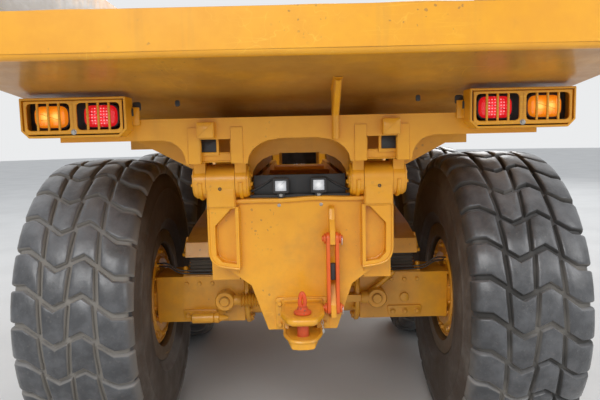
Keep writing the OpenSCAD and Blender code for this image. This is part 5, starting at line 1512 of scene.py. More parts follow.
@dataclass
class Bolster:
    """The tail bolster's seams, ear bosses, pin keepers, pads and cable grommets."""

    pin: Pair = (-4.275, 1.520)
    ears: tuple[Pair, ...] = ((0.2355, 0.2855), (0.4145, 0.4645))
    ear_radius: float = 0.0745
    rear: Pair = (-4.445, -4.405)
    post: Pair = (0.2865, 0.4135)
    seam_z: float = 1.7125

    def bosses(self) -> tuple[Shape, Shape]:
        """Raised rings round the pins, their keeper plates and nipples, as (painted, steel)."""
        y, z = self.pin
        painted, steel = [], []
        for x, s in ((self.ears[0][0], -1), (self.ears[1][1], 1)):
            painted.append(lathe([(0.046, x - s * 0.002), (0.070, x - s * 0.002), (0.070, x + s * 0.006),
                                  (0.065, x + s * 0.011), (0.050, x + s * 0.011), (0.046, x + s * 0.007)],
                                  Axis.X, (0, y, z), 48, closed=True))
            painted.append(drum(0.042, Axis.X, (x + s * 0.004, y, z), s * 0.012, 0.004, 36))
            steel.append(bolts(0.008, 0.008, circle_places(Axis.X, (x + s * 0.0155, y, z), 0.026, 3, 90),
                               (s, 0, 0)))
        for x0, x1 in self.ears:
            rim = [((x0 + x1) / 2, y + self.ear_radius * math.cos(t), z + self.ear_radius * math.sin(t))
                   for t in np.linspace(-math.pi, 0, 25)]
            painted.append(tube(rim, 0.010, 8))
        return join(painted), join(steel)

    def pads(self) -> tuple[Shape, Shape]:
        """The stop pad on the bolster's back with the pocket below it, whose inside is a dark plate of painted
        shade, as (painted, dark).
        """
        y = self.rear[0]
        pad = slab((0.349, y - 0.047, 1.716), (0.421, y - 0.002, 1.782), 0.004, Axis.Y)
        frame_part = ring_prism(rect(0.340, 0.430, 1.640, 1.716, 0.004, 2),
                                rect(0.352, 0.418, 1.656, 1.710, 0.003, 2), Axis.Y, y + 0.030, y + 0.041, 0.002)
        # A dark plate inside the pocket's frame: painted shade of the opening.
        dark = slab((0.350, y + 0.034, 1.654), (0.420, y + 0.040, 1.711), 0.002, Axis.Y)
        return join([pad, frame_part]), dark

    def seams(self) -> Shape:
        """Weld beads along the ears, the gussets, the cross bar and the fin."""
        y = self.rear[0]
        ear_in, ear_out = self.ears[0][0], self.ears[1][1]
        beads = [[(x, y + 0.002, 1.612), (x, y + 0.002, 1.706)] for ear in self.ears for x in ear]
        beads += [[(a, y + 0.004, self.seam_z), (b, y + 0.004, self.seam_z)] for a,
                  b in ((0.088, ear_in), (ear_out, 0.562))]
        beads += [[(x, self.rear[1] - 0.0005, z) for x in self.post] for z in (1.6155, 1.652)]
        beads += [[(ear_in, -4.176, 1.53), (ear_in, -4.176, 1.635)],
                  [(ear_out + 0.001, -4.176, 1.57), (ear_out + 0.001, -4.176, 1.70)]]
        return join([weld(b, 0.004) for b in beads])

    def fin_edge(self) -> Shape:
        """The rounded back edge of the fin under the chute, with its weld drops."""
        x = 0.155
        beads = [weld([(x + s * 0.016, -4.672, 1.936), (x + s * 0.016, -4.48, 1.903)], 0.004) for s in (-1, 1)]
        return join([bent([(x, -4.4725, 1.702), (x, -4.4725, 1.798), (x, -4.672, 1.930)], 0.03, 0.0145,
                          8)] + beads)

    def grommets(self) -> Shape:
        """Dark cable openings in the bolster's plate with short ends of cable, on both sides."""
        y = self.rear[0]
        dark = [slab((0.655, y - 0.003, 1.835), (0.690, y + 0.003, 1.872), 0.0015, Axis.Y, 0.010),
                slab((0.492, y - 0.003, 1.850), (0.512, y + 0.003, 1.876), 0.0015, Axis.Y, 0.008)]
        dark.append(bent([(0.684, y - 0.004, 1.850), (0.690, y - 0.016, 1.838), (0.688, y - 0.012, 1.815)],
                         0.012, 0.007, 8))
        dark.append(bent([(0.455, -4.40, 1.742), (0.452, -4.41, 1.715), (0.446, -4.40, 1.690)], 0.02, 0.006, 8))
        return join(dark)

    def build(self) -> None:
        """Makes the bolster's parts."""
        bosses, heads = self.bosses()
        pads, dark = self.pads()
        painted = join([bosses.both(), pads.both(), self.seams().both(), self.fin_edge()])
        piece("bolster_edges", painted, YELLOW, BED)
        piece("bolster_bolts", heads.both(), YELLOW, BED)
        piece("bolster_grommets_and_pocket_shade", join([dark.both(), self.grommets().both()]), PLASTIC, BED)


@dataclass
class TailLamps:
    """The two lamp boxes: an outer box, a guard plate with barred windows, and the lamps behind it."""

    x: Pair = (0.690, 1.116)
    y: Pair = (-4.545, -4.445)
    z: Pair = (1.730, 1.890)
    wall: float = 0.009
    windows: tuple[Pair, ...] = ((0.716, 0.889), (0.917, 1.090))
    window_z: Pair = (1.760, 1.868)
    bars: int = 3

    def box(self) -> Shape:
        """The outer box with cut lower corners, open to the back, and its back wall."""
        x0, x1 = self.x
        z0, z1 = self.z
        outer = rounded([(x0, z0 + 0.030), (x0 + 0.030, z0), (x1 - 0.030, z0), (x1, z0 + 0.030), (x1, z1),
                         (x0, z1)], 0.004, 2)
        wall = ring_prism(outer, inset(outer, self.wall), Axis.Y, self.y[0], self.y[1], 0.0025)
        back = prism(inset(outer, 0.004), Axis.Y, self.y[1] - 0.012, self.y[1] - 0.002, 0.002)
        ears = slab((x0 - 0.030, self.y[1] - 0.016, 1.775), (x0 + 0.006, self.y[1] - 0.004, 1.850), 0.003,
                    Axis.Y)
        return join([wall, back, ears])

    def guard(self) -> Shape:
        """The guard plate: a ring round each window, and the upright bars across it."""
        parts = []
        y0, y1 = self.y[0] + 0.001, self.y[0] + 0.011
        for k, (a, b) in enumerate(self.windows):
            lo = self.x[0] + 0.015 if k == 0 else 0.9025
            hi = 0.9035 if k == 0 else self.x[1] - 0.015
            outer = rounded([(lo, self.z[0] + 0.014), (hi, self.z[0] + 0.014), (hi, self.z[1] - 0.012),
                             (lo, self.z[1] - 0.012)],
                             [0.012 if k == 0 else 0.001, 0.001 if k == 0 else 0.012, 0.001, 0.001], 5)
            inner = rounded([(a, self.window_z[0]), (b, self.window_z[0]), (b, self.window_z[1]),
                             (a, self.window_z[1])], 0.018, 5)
            parts.append(ring_prism(outer, inner, Axis.Y, y0, y1, 0.002))
            for i in range(1, self.bars + 1):
                x = a + i * (b - a) / (self.bars + 1)
                parts.append(slab((x - 0.0045, y0 + 0.001, self.window_z[0] - 0.003),
                                  (x + 0.0045, y1, self.window_z[1] + 0.003), 0.002))
        return join(parts)

    def lamp(self, middle: float) -> tuple[Shape, Shape]:
        """One lamp as (lens, black housing): the lens crowns towards the back as 1 - t squared."""
        z = sum(self.window_z) / 2 + 0.001
        outline = rect(middle - 0.070, middle + 0.070, z - 0.046, z + 0.046, 0.034, 6)
        t = np.linspace(0, 1, 6)
        rings = np.stack([inset(outline, d) for d in [0.0, *(0.034 * t[1:])]])
        along = np.array([-4.502, *(-4.516 - 0.012 * (1 - (1 - t[1:]) ** 2))])
        housing = prism(inset(outline, -0.005), Axis.Y, -4.508, -4.462, 0.004)
        return loft(rings, Axis.Y, along), housing

    def build(self) -> None:
        """Makes the boxes, which stand for the CAD boxes, and the lamps."""
        piece("lamp_box_shells", self.box().both(), YELLOW, BED, 40.0, ["lamp_boxes"])
        piece("lamp_guards", self.guard().both(), LIP_YELLOW, BED)
        red = Lens("lamp_red_dots", (0.50, 0.008, 0.012), (1.0, 0.012, 0.022), 0.85, LensKind.DOTS,
                   (0.8025, 0, 1.815), 0.024, 0.052, (1.0, 0.42, 0.45))
        amber = Lens("lamp_amber_bulb", (0.72, 0.20, 0.005), (1.0, 0.26, 0.008), 0.95, LensKind.BULB,
                     (1.0, 0, 1.815), 0.019, 0.046, (1.0, 0.66, 0.12), 0.021)
        inner, inner_case = self.lamp(0.8025)
        outer, outer_case = self.lamp(1.0035)
        piece("lamp_lenses_red", inner.both(), red, BED, 50.0, ["tail_lamps"])
        piece("lamp_lenses_amber", outer.both(), amber, BED, 50.0)
        # A dark plate over the box's back wall behind the lamps: painted shade inside the box.
        dark = prism(rect(0.700, 1.106, 1.742, 1.880, 0.02), Axis.Y, -4.470, -4.4575, 0.002)
        piece("lamp_cases", join([inner_case.both(), outer_case.both(), dark.both()]), PLASTIC, BED)
        screw = bolts(0.0085, 0.006, [(0.903, self.y[0] + 0.001, 1.752)], (0, -1, 0))
        piece("lamp_guard_screws", screw.both(), STEEL, BED)


@dataclass
class BedDress:
    """The dump bed's rolled lip, its seams and pads, and the caps on its rails."""

    tail: float = -5.025
    half: float = 1.385
    lip: Pair = (1.980, 2.125)

    def lip_roll(self) -> Shape:
        """The rolled lower edge of the lip, and the bead along the top whose height wavers with small dents."""
        x = np.linspace(-self.half + 0.003, self.half - 0.003, 90)
        dents = 0.0022 * np.sin(5.1 * x) + 0.0016 * np.sin(17 * x + 1)
        for depth, place, width in ((0.006, 0.42, 0.018), (0.004, 0.16, 0.03)):
            dents = dents - depth * np.exp(-(((x + place) / width) ** 2))
        top = np.stack([x, np.full_like(x, self.tail + 0.021), self.lip[1] - 0.0065 + dents], -1)
        low = np.stack([x, np.full_like(x, self.tail + 0.0245) + 0.0008 * np.sin(7 * x),
                        np.full_like(x, self.lip[0] + 0.014)], -1)
        return join([tube(top, 0.0085, 8), tube(low, 0.0235, 14)])

    def seams(self) -> Shape:
        """Weld beads where the side rails, the chute and the front ribs meet the shell."""
        beads = [[(self.half, -3.97, 2.0), (self.half, -3.97, 2.5)],
                 [(0.70, -3.40, 1.738), (1.0, -3.40, 1.738)]]
        beads += [[(x, 0.426, 2.665), (x, 0.426, 2.905)] for x in (0.20, 0.25, 0.65, 0.70)]
        return join([weld(b, 0.006) for b in beads])

    def rail_caps(self) -> Shape:
        """The rounded edge on top of each side rail."""
        x = self.half + 0.020
        return tube([(x, -3.98, 2.7225), (x, -2.0, 2.7225), (x, -0.35, 2.7225)], 0.0205, 10)

    def bump_pads(self) -> Shape:
        """Rubber rest pads between the bed's beams and the frame: stacks whose sides bulge as sin."""
        pads = []
        t = np.linspace(0, math.pi, 7)
        for y in (-3.2, -2.1, -1.2):
            outline = rect(0.305, 0.395, y - 0.11, y + 0.11, 0.012)
            rings = np.stack([inset(outline, 0.008 * (1 - math.sin(a))) for a in t])
            pads.append(loft(rings, Axis.Z, 1.4415 + 0.022 * t / math.pi))
        return join(pads)

    def build(self) -> None:
        """Makes the bed's parts."""
        piece("bed_lip", self.lip_roll(), LIP_YELLOW, BED)
        piece("bed_seams", join([self.seams().both(), self.rail_caps().both()]), YELLOW, BED)
        piece("bed_rest_pads", self.bump_pads().both(), PLAIN_RUBBER, REAR)


def outline_tube(corners: Sequence[Point], radius: float, bend: float = 0.04, sides: int = 8) -> Shape:
    """A closed bead round a window or panel: a tube whose corners are rounded."""
    p = np.asarray(corners, float)
    around = np.concatenate([(p[-1:] + p[:1]) / 2, p, (p[-1:] + p[:1]) / 2])
    return tube(smooth_path(around, bend, 5)[:-1], radius, sides, loop=True)


def fastener_row(start: Point, end: Point, count: int, radius: float, direction: Point) -> Shape:
    """A straight row of small bolts between two points."""
    t = np.linspace(0, 1, count)[:, None]
    return bolts(radius, radius * 0.9, np.asarray(start) * (1 - t) + np.asarray(end) * t, direction)


@dataclass
class Cab:
    """The cab's window seals, seams, wipers, handles, lamps, visor, roof unit and what stands inside."""

    half: float = 0.800
    y: Pair = (1.330, 2.930)
    z: Pair = (1.760, 3.370)
    bend_z: float = 2.56
    glass_top: float = 3.242
    roof_front: float = 2.680
    lamp_x: tuple[float, ...] = (-0.52, -0.34, 0.34, 0.52)
    lamp_z: float = 3.455
    beacon_at: Point = (0.5, 1.53, 0)

    def front_y(self, z: float) -> float:
        """Where the slanted windscreen stands at a height."""
        return float(np.interp(z, [self.bend_z, self.z[1]], [self.y[1], self.roof_front]))

    def seals(self) -> Shape:
        """Rubber seals round the windows, each a closed bead on the outer face."""
        half, foot, bend, top = 0.712, 2.275, self.bend_z, self.glass_top
        front = [(-half, foot), (half, foot), (half, bend), (half, top), (-half, top), (-half, bend)]
        parts = [outline_tube([(x, self.front_y(z) + 0.002, z) for x, z in front], 0.011)]
        parts.append(outline_tube(box_corners(Axis.Y, self.y[0] - 0.002, (-0.662, 0.662), (2.515, top)), 0.011))
        x = self.half + 0.001
        for side, y, foot in ((x, (1.457, 1.613), 2.515), (x, (1.668, 2.603), 2.315),
                              (-x, (1.457, 1.583), 2.515)):
            parts.append(outline_tube(box_corners(Axis.X, side, y, (foot, top)), 0.010))
        return join(parts)

    def panels(self) -> Shape:
        """Raised panels and frames: roof gutter, visor, rocker covers, rear ribs and the rounded corner posts.
        """
        parts = []
        for s in (-1, 1):
            x = s * (self.half - 0.006)
            parts.append(bent([(x, 1.336, 1.80), (x, 1.336, 3.25), (x, 1.42, 3.362), (x, 2.672, 3.362),
                               (x, 2.922, 2.56), (x, 2.922, 1.80)], 0.05, 0.0135, 8))
            parts.append(tube([(x, 1.36, 1.768), (x, 2.90, 1.768)], 0.0135, 8))
        parts.append(prism(rounded([(2.745, 3.372), (2.775, 3.362), (2.905, 3.290), (2.912, 3.302),
                                    (2.782, 3.392), (2.745, 3.398)], 0.006), Axis.X, -0.74, 0.74, 0.004))
        parts.append(slab((-0.815, 1.385, 3.425), (0.815, 2.765, 3.446), 0.010, Axis.Z, 0.06))
        for y in (1.60, 2.02, 2.44):
            parts.append(slab((-0.70, y, 3.440), (0.42, y + 0.05, 3.4555), 0.006, Axis.Y))
        for x in (-0.55, 0.0, 0.55):
            parts.append(slab((x - 0.20, 1.312, 1.90), (x + 0.20, 1.334, 2.42), 0.008, Axis.Y, 0.04))
        parts.append(slab((self.half - 0.004, 1.50, 1.86), (self.half + 0.012, 2.78, 2.22), 0.008, Axis.X,
                          0.05))
        parts.append(slab((-self.half - 0.012, 2.64, 1.84), (-self.half + 0.004, 2.88, 2.40), 0.006, Axis.X,
                          0.03))
        return join(parts)

    def fittings(self) -> Shape:
        """Black fittings: grab rails, wipers, vents, roof lamp brackets and the beacon's foot."""
        parts = []
        for side, y in ((-1, 2.66), (-1, 1.40), (1, 1.42)):
            wall, out = side * 0.802, side * 0.862
            parts.append(bent([(wall, y, 1.96), (out, y, 1.98), (out, y, 2.92), (wall, y, 2.94)], 0.05, 0.0125,
                              10))
        fy = self.front_y
        for x in (-0.34, 0.30):
            elbow = x + 0.135
            parts.append(tube([(x, fy(2.26) + 0.012, 2.255), (elbow, fy(2.62) + 0.026, 2.60)], 0.008, 8))
            parts.append(tube([(elbow - 0.05, fy(2.33) + 0.022, 2.33), (elbow + 0.03, fy(2.92) + 0.022, 2.92)],
                              0.006, 6))
            parts.append(drum(0.022, Axis.Y, (x, fy(2.26) - 0.01, 2.255), 0.03, 0.006, 20))
        for x in self.lamp_x:
            parts.append(drum(0.052, Axis.Y, (x, 2.715, self.lamp_z), 0.065, 0.012, 28))
            parts.append(slab((x - 0.012, 2.72, 3.40), (x + 0.012, 2.75, 3.43), 0.003))
        parts.append(lathe([(0.072, 3.428), (0.072, 3.440), (0.058, 3.446), (0.056, 3.452)], Axis.Z,
                           self.beacon_at, 32))
        for k in range(5):
            parts.append(slab((0.800, 1.56, 2.256 + 0.012 * k), (0.812, 1.90, 2.262 + 0.012 * k), 0.002))
        parts.append(slab((-0.13, 1.318, 2.455), (0.13, 1.330, 2.500), 0.004, Axis.Y, 0.012))
        return join(parts)

    def beacon(self) -> Shape:
        """The beacon's ribbed dome: a profile turned round Z."""
        return lathe([(0.050, 3.452), (0.0535, 3.458), (0.0545, 3.470), (0.0545, 3.505), (0.050, 3.524),
                      (0.036, 3.5355), (0.012, 3.5392)], Axis.Z, self.beacon_at, 40)

    def inside(self) -> Shape:
        """The driver's place: floor mat, dash, side console, levers, seat foot and steering wheel rim grips."""
        parts = [slab((-0.72, 1.40, 1.812), (0.72, 2.84, 1.826), 0.005, Axis.Z, 0.03)]
        dash = rounded([(2.605, 2.05), (2.84, 2.05), (2.845, 2.44), (2.78, 2.475), (2.62, 2.415)], 0.03, 4)
        parts.append(prism(dash, Axis.X, -0.62, 0.62, 0.02, 3))
        parts.append(slab((0.36, 1.56, 1.826), (0.62, 2.42, 2.32), 0.03, Axis.Y))
        for y in (2.05, 2.15, 2.25):
            parts.append(bent([(0.46, y, 2.31), (0.455, y + 0.01, 2.42), (0.44, y + 0.02, 2.47)], 0.05, 0.007,
                              8))
            parts.append(lathe([(0.008, -0.02), (0.019, -0.010), (0.021, 0.006), (0.014, 0.020),
                                (0.004, 0.024)], Axis.Z, (0.44, y + 0.02, 2.48), 18))
        for k in range(3):
            parts.append(slab((-0.20 + 0.16 * k, 2.46, 1.83), (-0.10 + 0.16 * k, 2.60, 1.852), 0.006, Axis.X,
                              0.01).turned("X", 35.0, (0.0, 2.5, 1.84)))
        parts.append(slab((-0.23, 1.76, 1.826), (0.23, 2.16, 1.90), 0.015, Axis.Z, 0.04))
        t = np.linspace(0, 1, 41)
        bellows = 0.135 + 0.018 * np.cos(t * 12 * math.pi)
        parts.append(lathe(np.stack([bellows, 1.90 + 0.235 * t], -1), Axis.Z, (0.0, 1.96, 0), 24))
        for s in (-1, 1):
            parts.append(slab((s * 0.29 - 0.035, 1.80, 2.40), (s * 0.29 + 0.035, 2.15, 2.44), 0.012, Axis.Y))
            parts.append(tube([(s * 0.29, 1.80, 2.40), (s * 0.26, 1.72, 2.35)], 0.012, 8))
        return join(parts)

    def build(self) -> None:
        """Makes the cab's parts."""
        piece("cab_seals", self.seals(), PLAIN_RUBBER, FRONT)
        piece("cab_panels", self.panels(), YELLOW, FRONT)
        piece("cab_fittings", self.fittings(), PLASTIC, FRONT)
        piece("cab_beacon", self.beacon(), BEACON, FRONT, 50.0)
        piece("cab_inside", self.inside(), PLASTIC, FRONT)
        lens = join([drum(0.045, Axis.Y, (x, 2.775, self.lamp_z), 0.008, 0.003, 28) for x in self.lamp_x])
        piece("roof_lamp_lenses", lens, CLEAR, FRONT)


@dataclass
class Door:
    """The cab door's seal, raised panel, handle and grab bar."""

    x: float = -0.800
    y: Pair = (1.671, 2.615)
    z: Pair = (1.835, 3.255)

    def build(self) -> None:
        """Makes the door's parts."""
        x, (y0, y1), (z0, z1) = self.x - 0.001, self.y, self.z
        window = box_corners(Axis.X, x, (y0 + 0.092, y1 - 0.092), (2.385, z1 - 0.098))
        rim = box_corners(Axis.X, x + 0.002, (y0 + 0.006, y1 - 0.006), (z0 + 0.006, z1 - 0.006))
        seals = [outline_tube(window, 0.010, 0.06), outline_tube(rim, 0.0045, 0.03, 6)]
        panel = [slab((x - 0.012, y0 + 0.11, 1.93), (x + 0.006, y1 - 0.11, 2.29), 0.008, Axis.X, 0.06),
                 slab((x - 0.006, y0 + 0.05, 2.325), (x + 0.004, y1 - 0.05, 2.352), 0.003, Axis.X, 0.01)]
        cup = slab((x - 0.004, y1 - 0.235, 2.155), (x + 0.004, y1 - 0.095, 2.235), 0.003, Axis.X, 0.02)
        handle = bent([(x, y1 - 0.22, 2.20), (x - 0.035, y1 - 0.21, 2.20), (x - 0.035, y1 - 0.12, 2.20),
                       (x, y1 - 0.11, 2.20)], 0.02, 0.009, 10)
        lock = drum(0.013, Axis.X, (x, y1 - 0.165, 2.135), -0.012, 0.003, 20)
        inner = bent([(x + 0.042, y0 + 0.15, 2.33), (x + 0.085, y0 + 0.17, 2.33), (x + 0.085, y1 - 0.22, 2.33),
                      (x + 0.042, y1 - 0.20, 2.33)], 0.03, 0.011, 8)
        piece("door_seals", join(seals), PLAIN_RUBBER, "door")
        piece("door_panels", join(panel), YELLOW, "door")
        piece("door_handle", join([cup, handle, lock, inner]), PLASTIC, "door")


@dataclass
class Seat:
    """The driver's seat: a padded base and back with sewn channels, and a head cushion."""

    middle: Pair = (0.0, 1.960)
    voxel: float = 0.006
    cap: float = 0.012
    pole_radius: float = 0.002
    pressure: float = 4.0
    frames: int = 20

    def pad(self, half: Sequence[float], bow: float, rows: int = 22, columns: int = 22) -> Shape:
        """A crowned pad: a box blown up so that x, y, z = half * sign(t) |t|^0.55, its sides pulled in by cos.
        """
        u = np.linspace(-math.pi / 2, math.pi / 2, rows)[:, None]
        v = np.arange(columns * 2)[None] * math.pi / columns
        power = lambda t, e: np.sign(t) * np.abs(t) ** e
        x = power(np.cos(u), 0.42) * power(np.cos(v), 0.38)
        y = power(np.cos(u), 0.42) * power(np.sin(v), 0.38)
        z = power(np.sin(u), 0.60) * np.ones_like(v)
        waist = 1 - bow * (np.cos(x * math.pi / 2) * np.abs(y) + np.cos(y * math.pi / 2) * np.abs(x)) * 0.5
        points = np.stack([x * half[0] * waist, y * half[1] * waist, z * half[2]], -1)
        points[0], points[-1] = points[0].mean(0), points[-1].mean(0)
        for pole in (0, -1):
            points[pole, :, :2] += self.pole_radius * np.stack([np.cos(v[0]), np.sin(v[0])], -1)
        return grid(points)

    def bake(self, pad: bpy.types.Object) -> None:
        """Applies the pad's modifiers and takes them away."""
        graph = bpy.context.evaluated_depsgraph_get()
        pad.data = bpy.data.meshes.new_from_object(pad.evaluated_get(graph))
        pad.modifiers.clear()

    def stuff(self, pad: bpy.types.Object) -> None:
        """Fills a pad: remesh, cloth blown up from inside for twenty frames, the swelling capped, one
        subdivision.
        """
        before = np.array([v.co for v in pad.data.vertices], float)
        lo, hi = before.min(0), before.max(0)
        scene = bpy.context.scene
        bpy.context.view_layer.objects.active = pad
        remesh = pad.modifiers.new("remesh", "REMESH")
        remesh.mode, remesh.voxel_size = "VOXEL", self.voxel
        bpy.context.view_layer.update()
        self.bake(pad)
        count = len(pad.data.vertices)
        start = np.zeros(count * 3, np.float32)
        pad.data.vertices.foreach_get("co", start)
        cloth = pad.modifiers.new("cloth", "CLOTH")
        cloth.settings.use_pressure, cloth.settings.uniform_pressure_force = True, self.pressure
        cloth.settings.effector_weights.gravity = 0.0
        cloth.settings.quality = 6
        cloth.settings.tension_stiffness = 18.0
        for number in range(1, self.frames + 1):
            scene.frame_set(number)
        graph = bpy.context.evaluated_depsgraph_get()
        blown = bpy.data.meshes.new_from_object(pad.evaluated_get(graph))
        end = np.zeros(count * 3, np.float32)
        blown.vertices.foreach_get("co", end)
        move = (end - start).reshape(-1, 3)
        far = np.linalg.norm(move, axis=1, keepdims=True)
        move *= np.minimum(1.0, self.cap / np.maximum(far, 1e-9))
        place = np.clip(start.reshape(-1, 3) + move, lo - self.cap, hi + self.cap)
        pad.modifiers.clear()
        pad.data.vertices.foreach_set("co", place.astype(np.float32).ravel())
        pad.data.update()
        scene.frame_set(1)
        finer = pad.modifiers.new("finer", "SUBSURF")
        finer.levels = finer.render_levels = 1
        self.bake(pad)

    def channels(self, pad: bpy.types.Object, across: int, along: int, places: Sequence[float],
                 depth: float) -> None:
        """Presses sewn channels into a pad: each point moves in by depth * exp(-(distance / 6 mm) squared)."""
        mesh = pad.data
        co = np.zeros(len(mesh.vertices) * 3, np.float32)
        mesh.vertices.foreach_get("co", co)
        co = co.reshape(-1, 3)
        middle = (co.min(0) + co.max(0)) / 2
        dip = sum(np.exp(-(((co[:, across] - p) / 0.006) ** 2)) for p in places)
        co[:, along] -= np.sign(co[:, along] - middle[along]) * depth * np.minimum(dip, 1.0)
        mesh.vertices.foreach_set("co", co.ravel())
        mesh.polygons.foreach_set("use_smooth", np.ones(len(mesh.polygons), dtype=bool))
        mesh.update()

    def build(self) -> None:
        """Makes the three pads, which stand for the CAD seat with its foot, and stuffs them."""
        x, y = self.middle
        base = self.pad((0.225, 0.220, 0.052), 0.05).moved(x, y, 2.205)
        back = self.pad((0.205, 0.285, 0.046), 0.05).turned("X", 82.0).moved(x, 1.672, 2.535)
        head = self.pad((0.120, 0.060, 0.036), 0.06, 16, 16).turned("X", 82.0).moved(x, 1.622, 2.872)
        pads = [("seat_base_pad", base, 0, 2, (-0.11, 0.11), 0.72),
                ("seat_back_pad", back, 0, 1, (-0.10, 0.10), 0.68), ("seat_head_pad", head, 0, 1, (0.0,), 0.65)]
        for k, (name, shape, across, along, places, fill) in enumerate(pads):
            made = piece(name, shape, SEAT_CLOTH, FRONT, 180.0, ["seat"] if k == 0 else [])
            self.stuff(made)
            self.channels(made, across, along, places, 0.007)
            made.data.materials.clear()
            made.data.materials.append(SEAT_CLOTH.material())


@dataclass
class Bonnet:
    """The bonnet's louvres, seams, latches, handle and the frame of its grille."""

    half: float = 0.620
    nose: float = 4.960

    def louvres(self) -> Shape:
        """Rows of pressed louvres on both sides: each is a hood whose height goes as sin over its width."""
        t = np.linspace(0, math.pi, 9)
        section = np.stack([0.012 * np.sin(t), 0.016 * np.cos(t)], -1)
        section = np.concatenate([section, [[-0.003, -0.016], [-0.003, 0.016]]])
        y = np.linspace(0, 1, 7)
        swell = np.sqrt(np.clip(1 - (2 * y - 1) ** 4, 0.04, 1))
        points = np.zeros((7, len(section), 3))
        points[..., 0] = section[None, :, 0] * swell[:, None]
        points[..., 2] = section[None, :, 1] * swell[:, None]
        points[..., 1] = (y - 0.5)[:, None] * 0.34
        one = grid(points)
        places = [(self.half, y0, z) for y0 in (3.55, 3.98) for z in np.arange(1.36, 1.72, 0.048)]
        return repeat(one, np.array(places))

    def build(self) -> None:
        """Makes the bonnet's parts."""
        x = self.half
        seam = [weld([(x + 0.001, 3.02, 1.20), (x + 0.001, 4.90, 1.20)], 0.003),
                tube([(x, 2.98, 1.152), (x, 4.93, 1.152)], 0.008, 8)]
        ridge = slab((x - 0.006, 3.20, 1.80), (x + 0.010, 4.55, 1.835), 0.006, Axis.X, 0.015)
        trim = outline_tube(box_corners(Axis.Y, self.nose - 0.003, (-0.474, 0.474), (1.246, 1.794)), 0.012,
                            0.03)
        blank = slab((-0.20, 4.945, 1.835), (0.20, 4.9615, 1.905), 0.004, Axis.Y, 0.012)
        piece("bonnet_panels", join([self.louvres().both(), join([ridge] + seam).both(), trim, blank]), YELLOW,
              "bonnet")
        latch = []
        for y in (3.40, 4.62):
            latch.append(slab((x - 0.002, y - 0.020, 1.215), (x + 0.014, y + 0.020, 1.300), 0.004, Axis.X,
                              0.010))
            latch.append(bent([(x + 0.014, y, 1.225), (x + 0.026, y, 1.240), (x + 0.026, y, 1.290),
                               (x + 0.014, y, 1.300)], 0.01, 0.005, 8))
        handle = bent([(-0.12, 4.958, 1.965), (-0.12, 4.948, 2.0), (0.12, 4.948, 2.0), (0.12, 4.958, 1.965)],
                      0.02, 0.009, 8)
        piece("bonnet_latches", join([join(latch).both(), handle]), BLACK, "bonnet")
        slats = []
        for k in range(9):
            z = 1.2525 + k * 0.0604
            blade = rounded([(4.930, z - 0.002), (4.937, z - 0.004), (4.956, z + 0.016), (4.952, z + 0.030),
                             (4.944, z + 0.026)], 0.004, 3)
            slats.append(prism(blade, Axis.X, -0.468, 0.468, 0.002))
        posts = [slab((a, 4.931, 1.2505), (a + 0.020, 4.953, 1.7895), 0.004) for a in (-0.4695, -0.01, 0.4495)]
        piece("grille_slats", join(slats + posts), BLACK, "bonnet", 40.0, ["grille"])


@dataclass
class Nose:
    """The bumper's edges, the head lamps, the tow pins and the steps' treads."""

    lamp_x: Pair = (0.806, 1.074)
    lamp_z: Pair = (0.856, 1.004)

    def lamps(self) -> tuple[Shape, Shape, Shape]:
        """A pair of lamps in one opening, as (case, reflector, lens): the reflector is a dish r squared deep.
        """
        case, dish, glass = [], [], []
        outer = rect(self.lamp_x[0], self.lamp_x[1], self.lamp_z[0], self.lamp_z[1], 0.02, 4)
        case.append(prism(outer, Axis.Y, 4.966, 4.978, 0.003))
        case.append(ring_prism(outer, inset(outer, 0.012), Axis.Y, 4.974, 5.012, 0.003))
        for x in (0.870, 1.008):
            t = np.linspace(0.12, 1, 8)
            profile = [(0.058 * a, 4.980 + 0.022 * a * a) for a in t] + [(0.062, 5.002), (0.062, 4.979)]
            dish.append(lathe(profile, Axis.Y, (x, 0, 0.930), 36))
            glass.append(lathe([(0.0605, 5.001), (0.0605, 5.006), (0.050, 5.0095), (0.020, 5.0115)], Axis.Y,
                               (x, 0, 0.930), 36))
        return join(case), join(dish), join(glass)

    def build(self) -> None:
        """Makes the nose's parts."""
        case, dish, glass = self.lamps()
        piece("headlamp_cases", case.both(), PLASTIC, FRONT, 40.0, ["headlamps"])
        piece("headlamp_dishes", dish.both(), BRIGHT, FRONT)
        piece("headlamp_lenses", glass.both(), CLEAR, FRONT)
        edge = outline_tube(box_corners(Axis.Y, 5.021, (-1.178, 1.178), (0.628, 1.040)), 0.0038, 0.02, 6)
        treads = [slab((-0.36 + 0.18 * k, 4.866, 1.048), (-0.24 + 0.18 * k, 5.010, 1.058), 0.003, Axis.Z, 0.01)
                  for k in range(5)]
        plate = slab((-0.20, 5.008, 0.74), (0.20, 5.0245, 0.85), 0.004, Axis.Y, 0.012)
        piece("bumper_edges", join([edge, plate] + treads), BLACK, FRONT)
        rows = [fastener_row((s * 1.11, 5.019, 0.70), (s * 1.11, 5.019, 0.98), 4, 0.0065, (0, 1, 0))
                for s in (-1, 1)]
        eyes = [lathe([(0.032, -0.003), (0.055, -0.003), (0.060, 0.002), (0.060, 0.006), (0.032, 0.006)],
                      Axis.X, (x, 4.940, 0.545), 36, closed=True) for x in (0.4175, 0.4635)]
        piece("bumper_bolts", join(rows + [join(eyes).both()]), STEEL, FRONT)


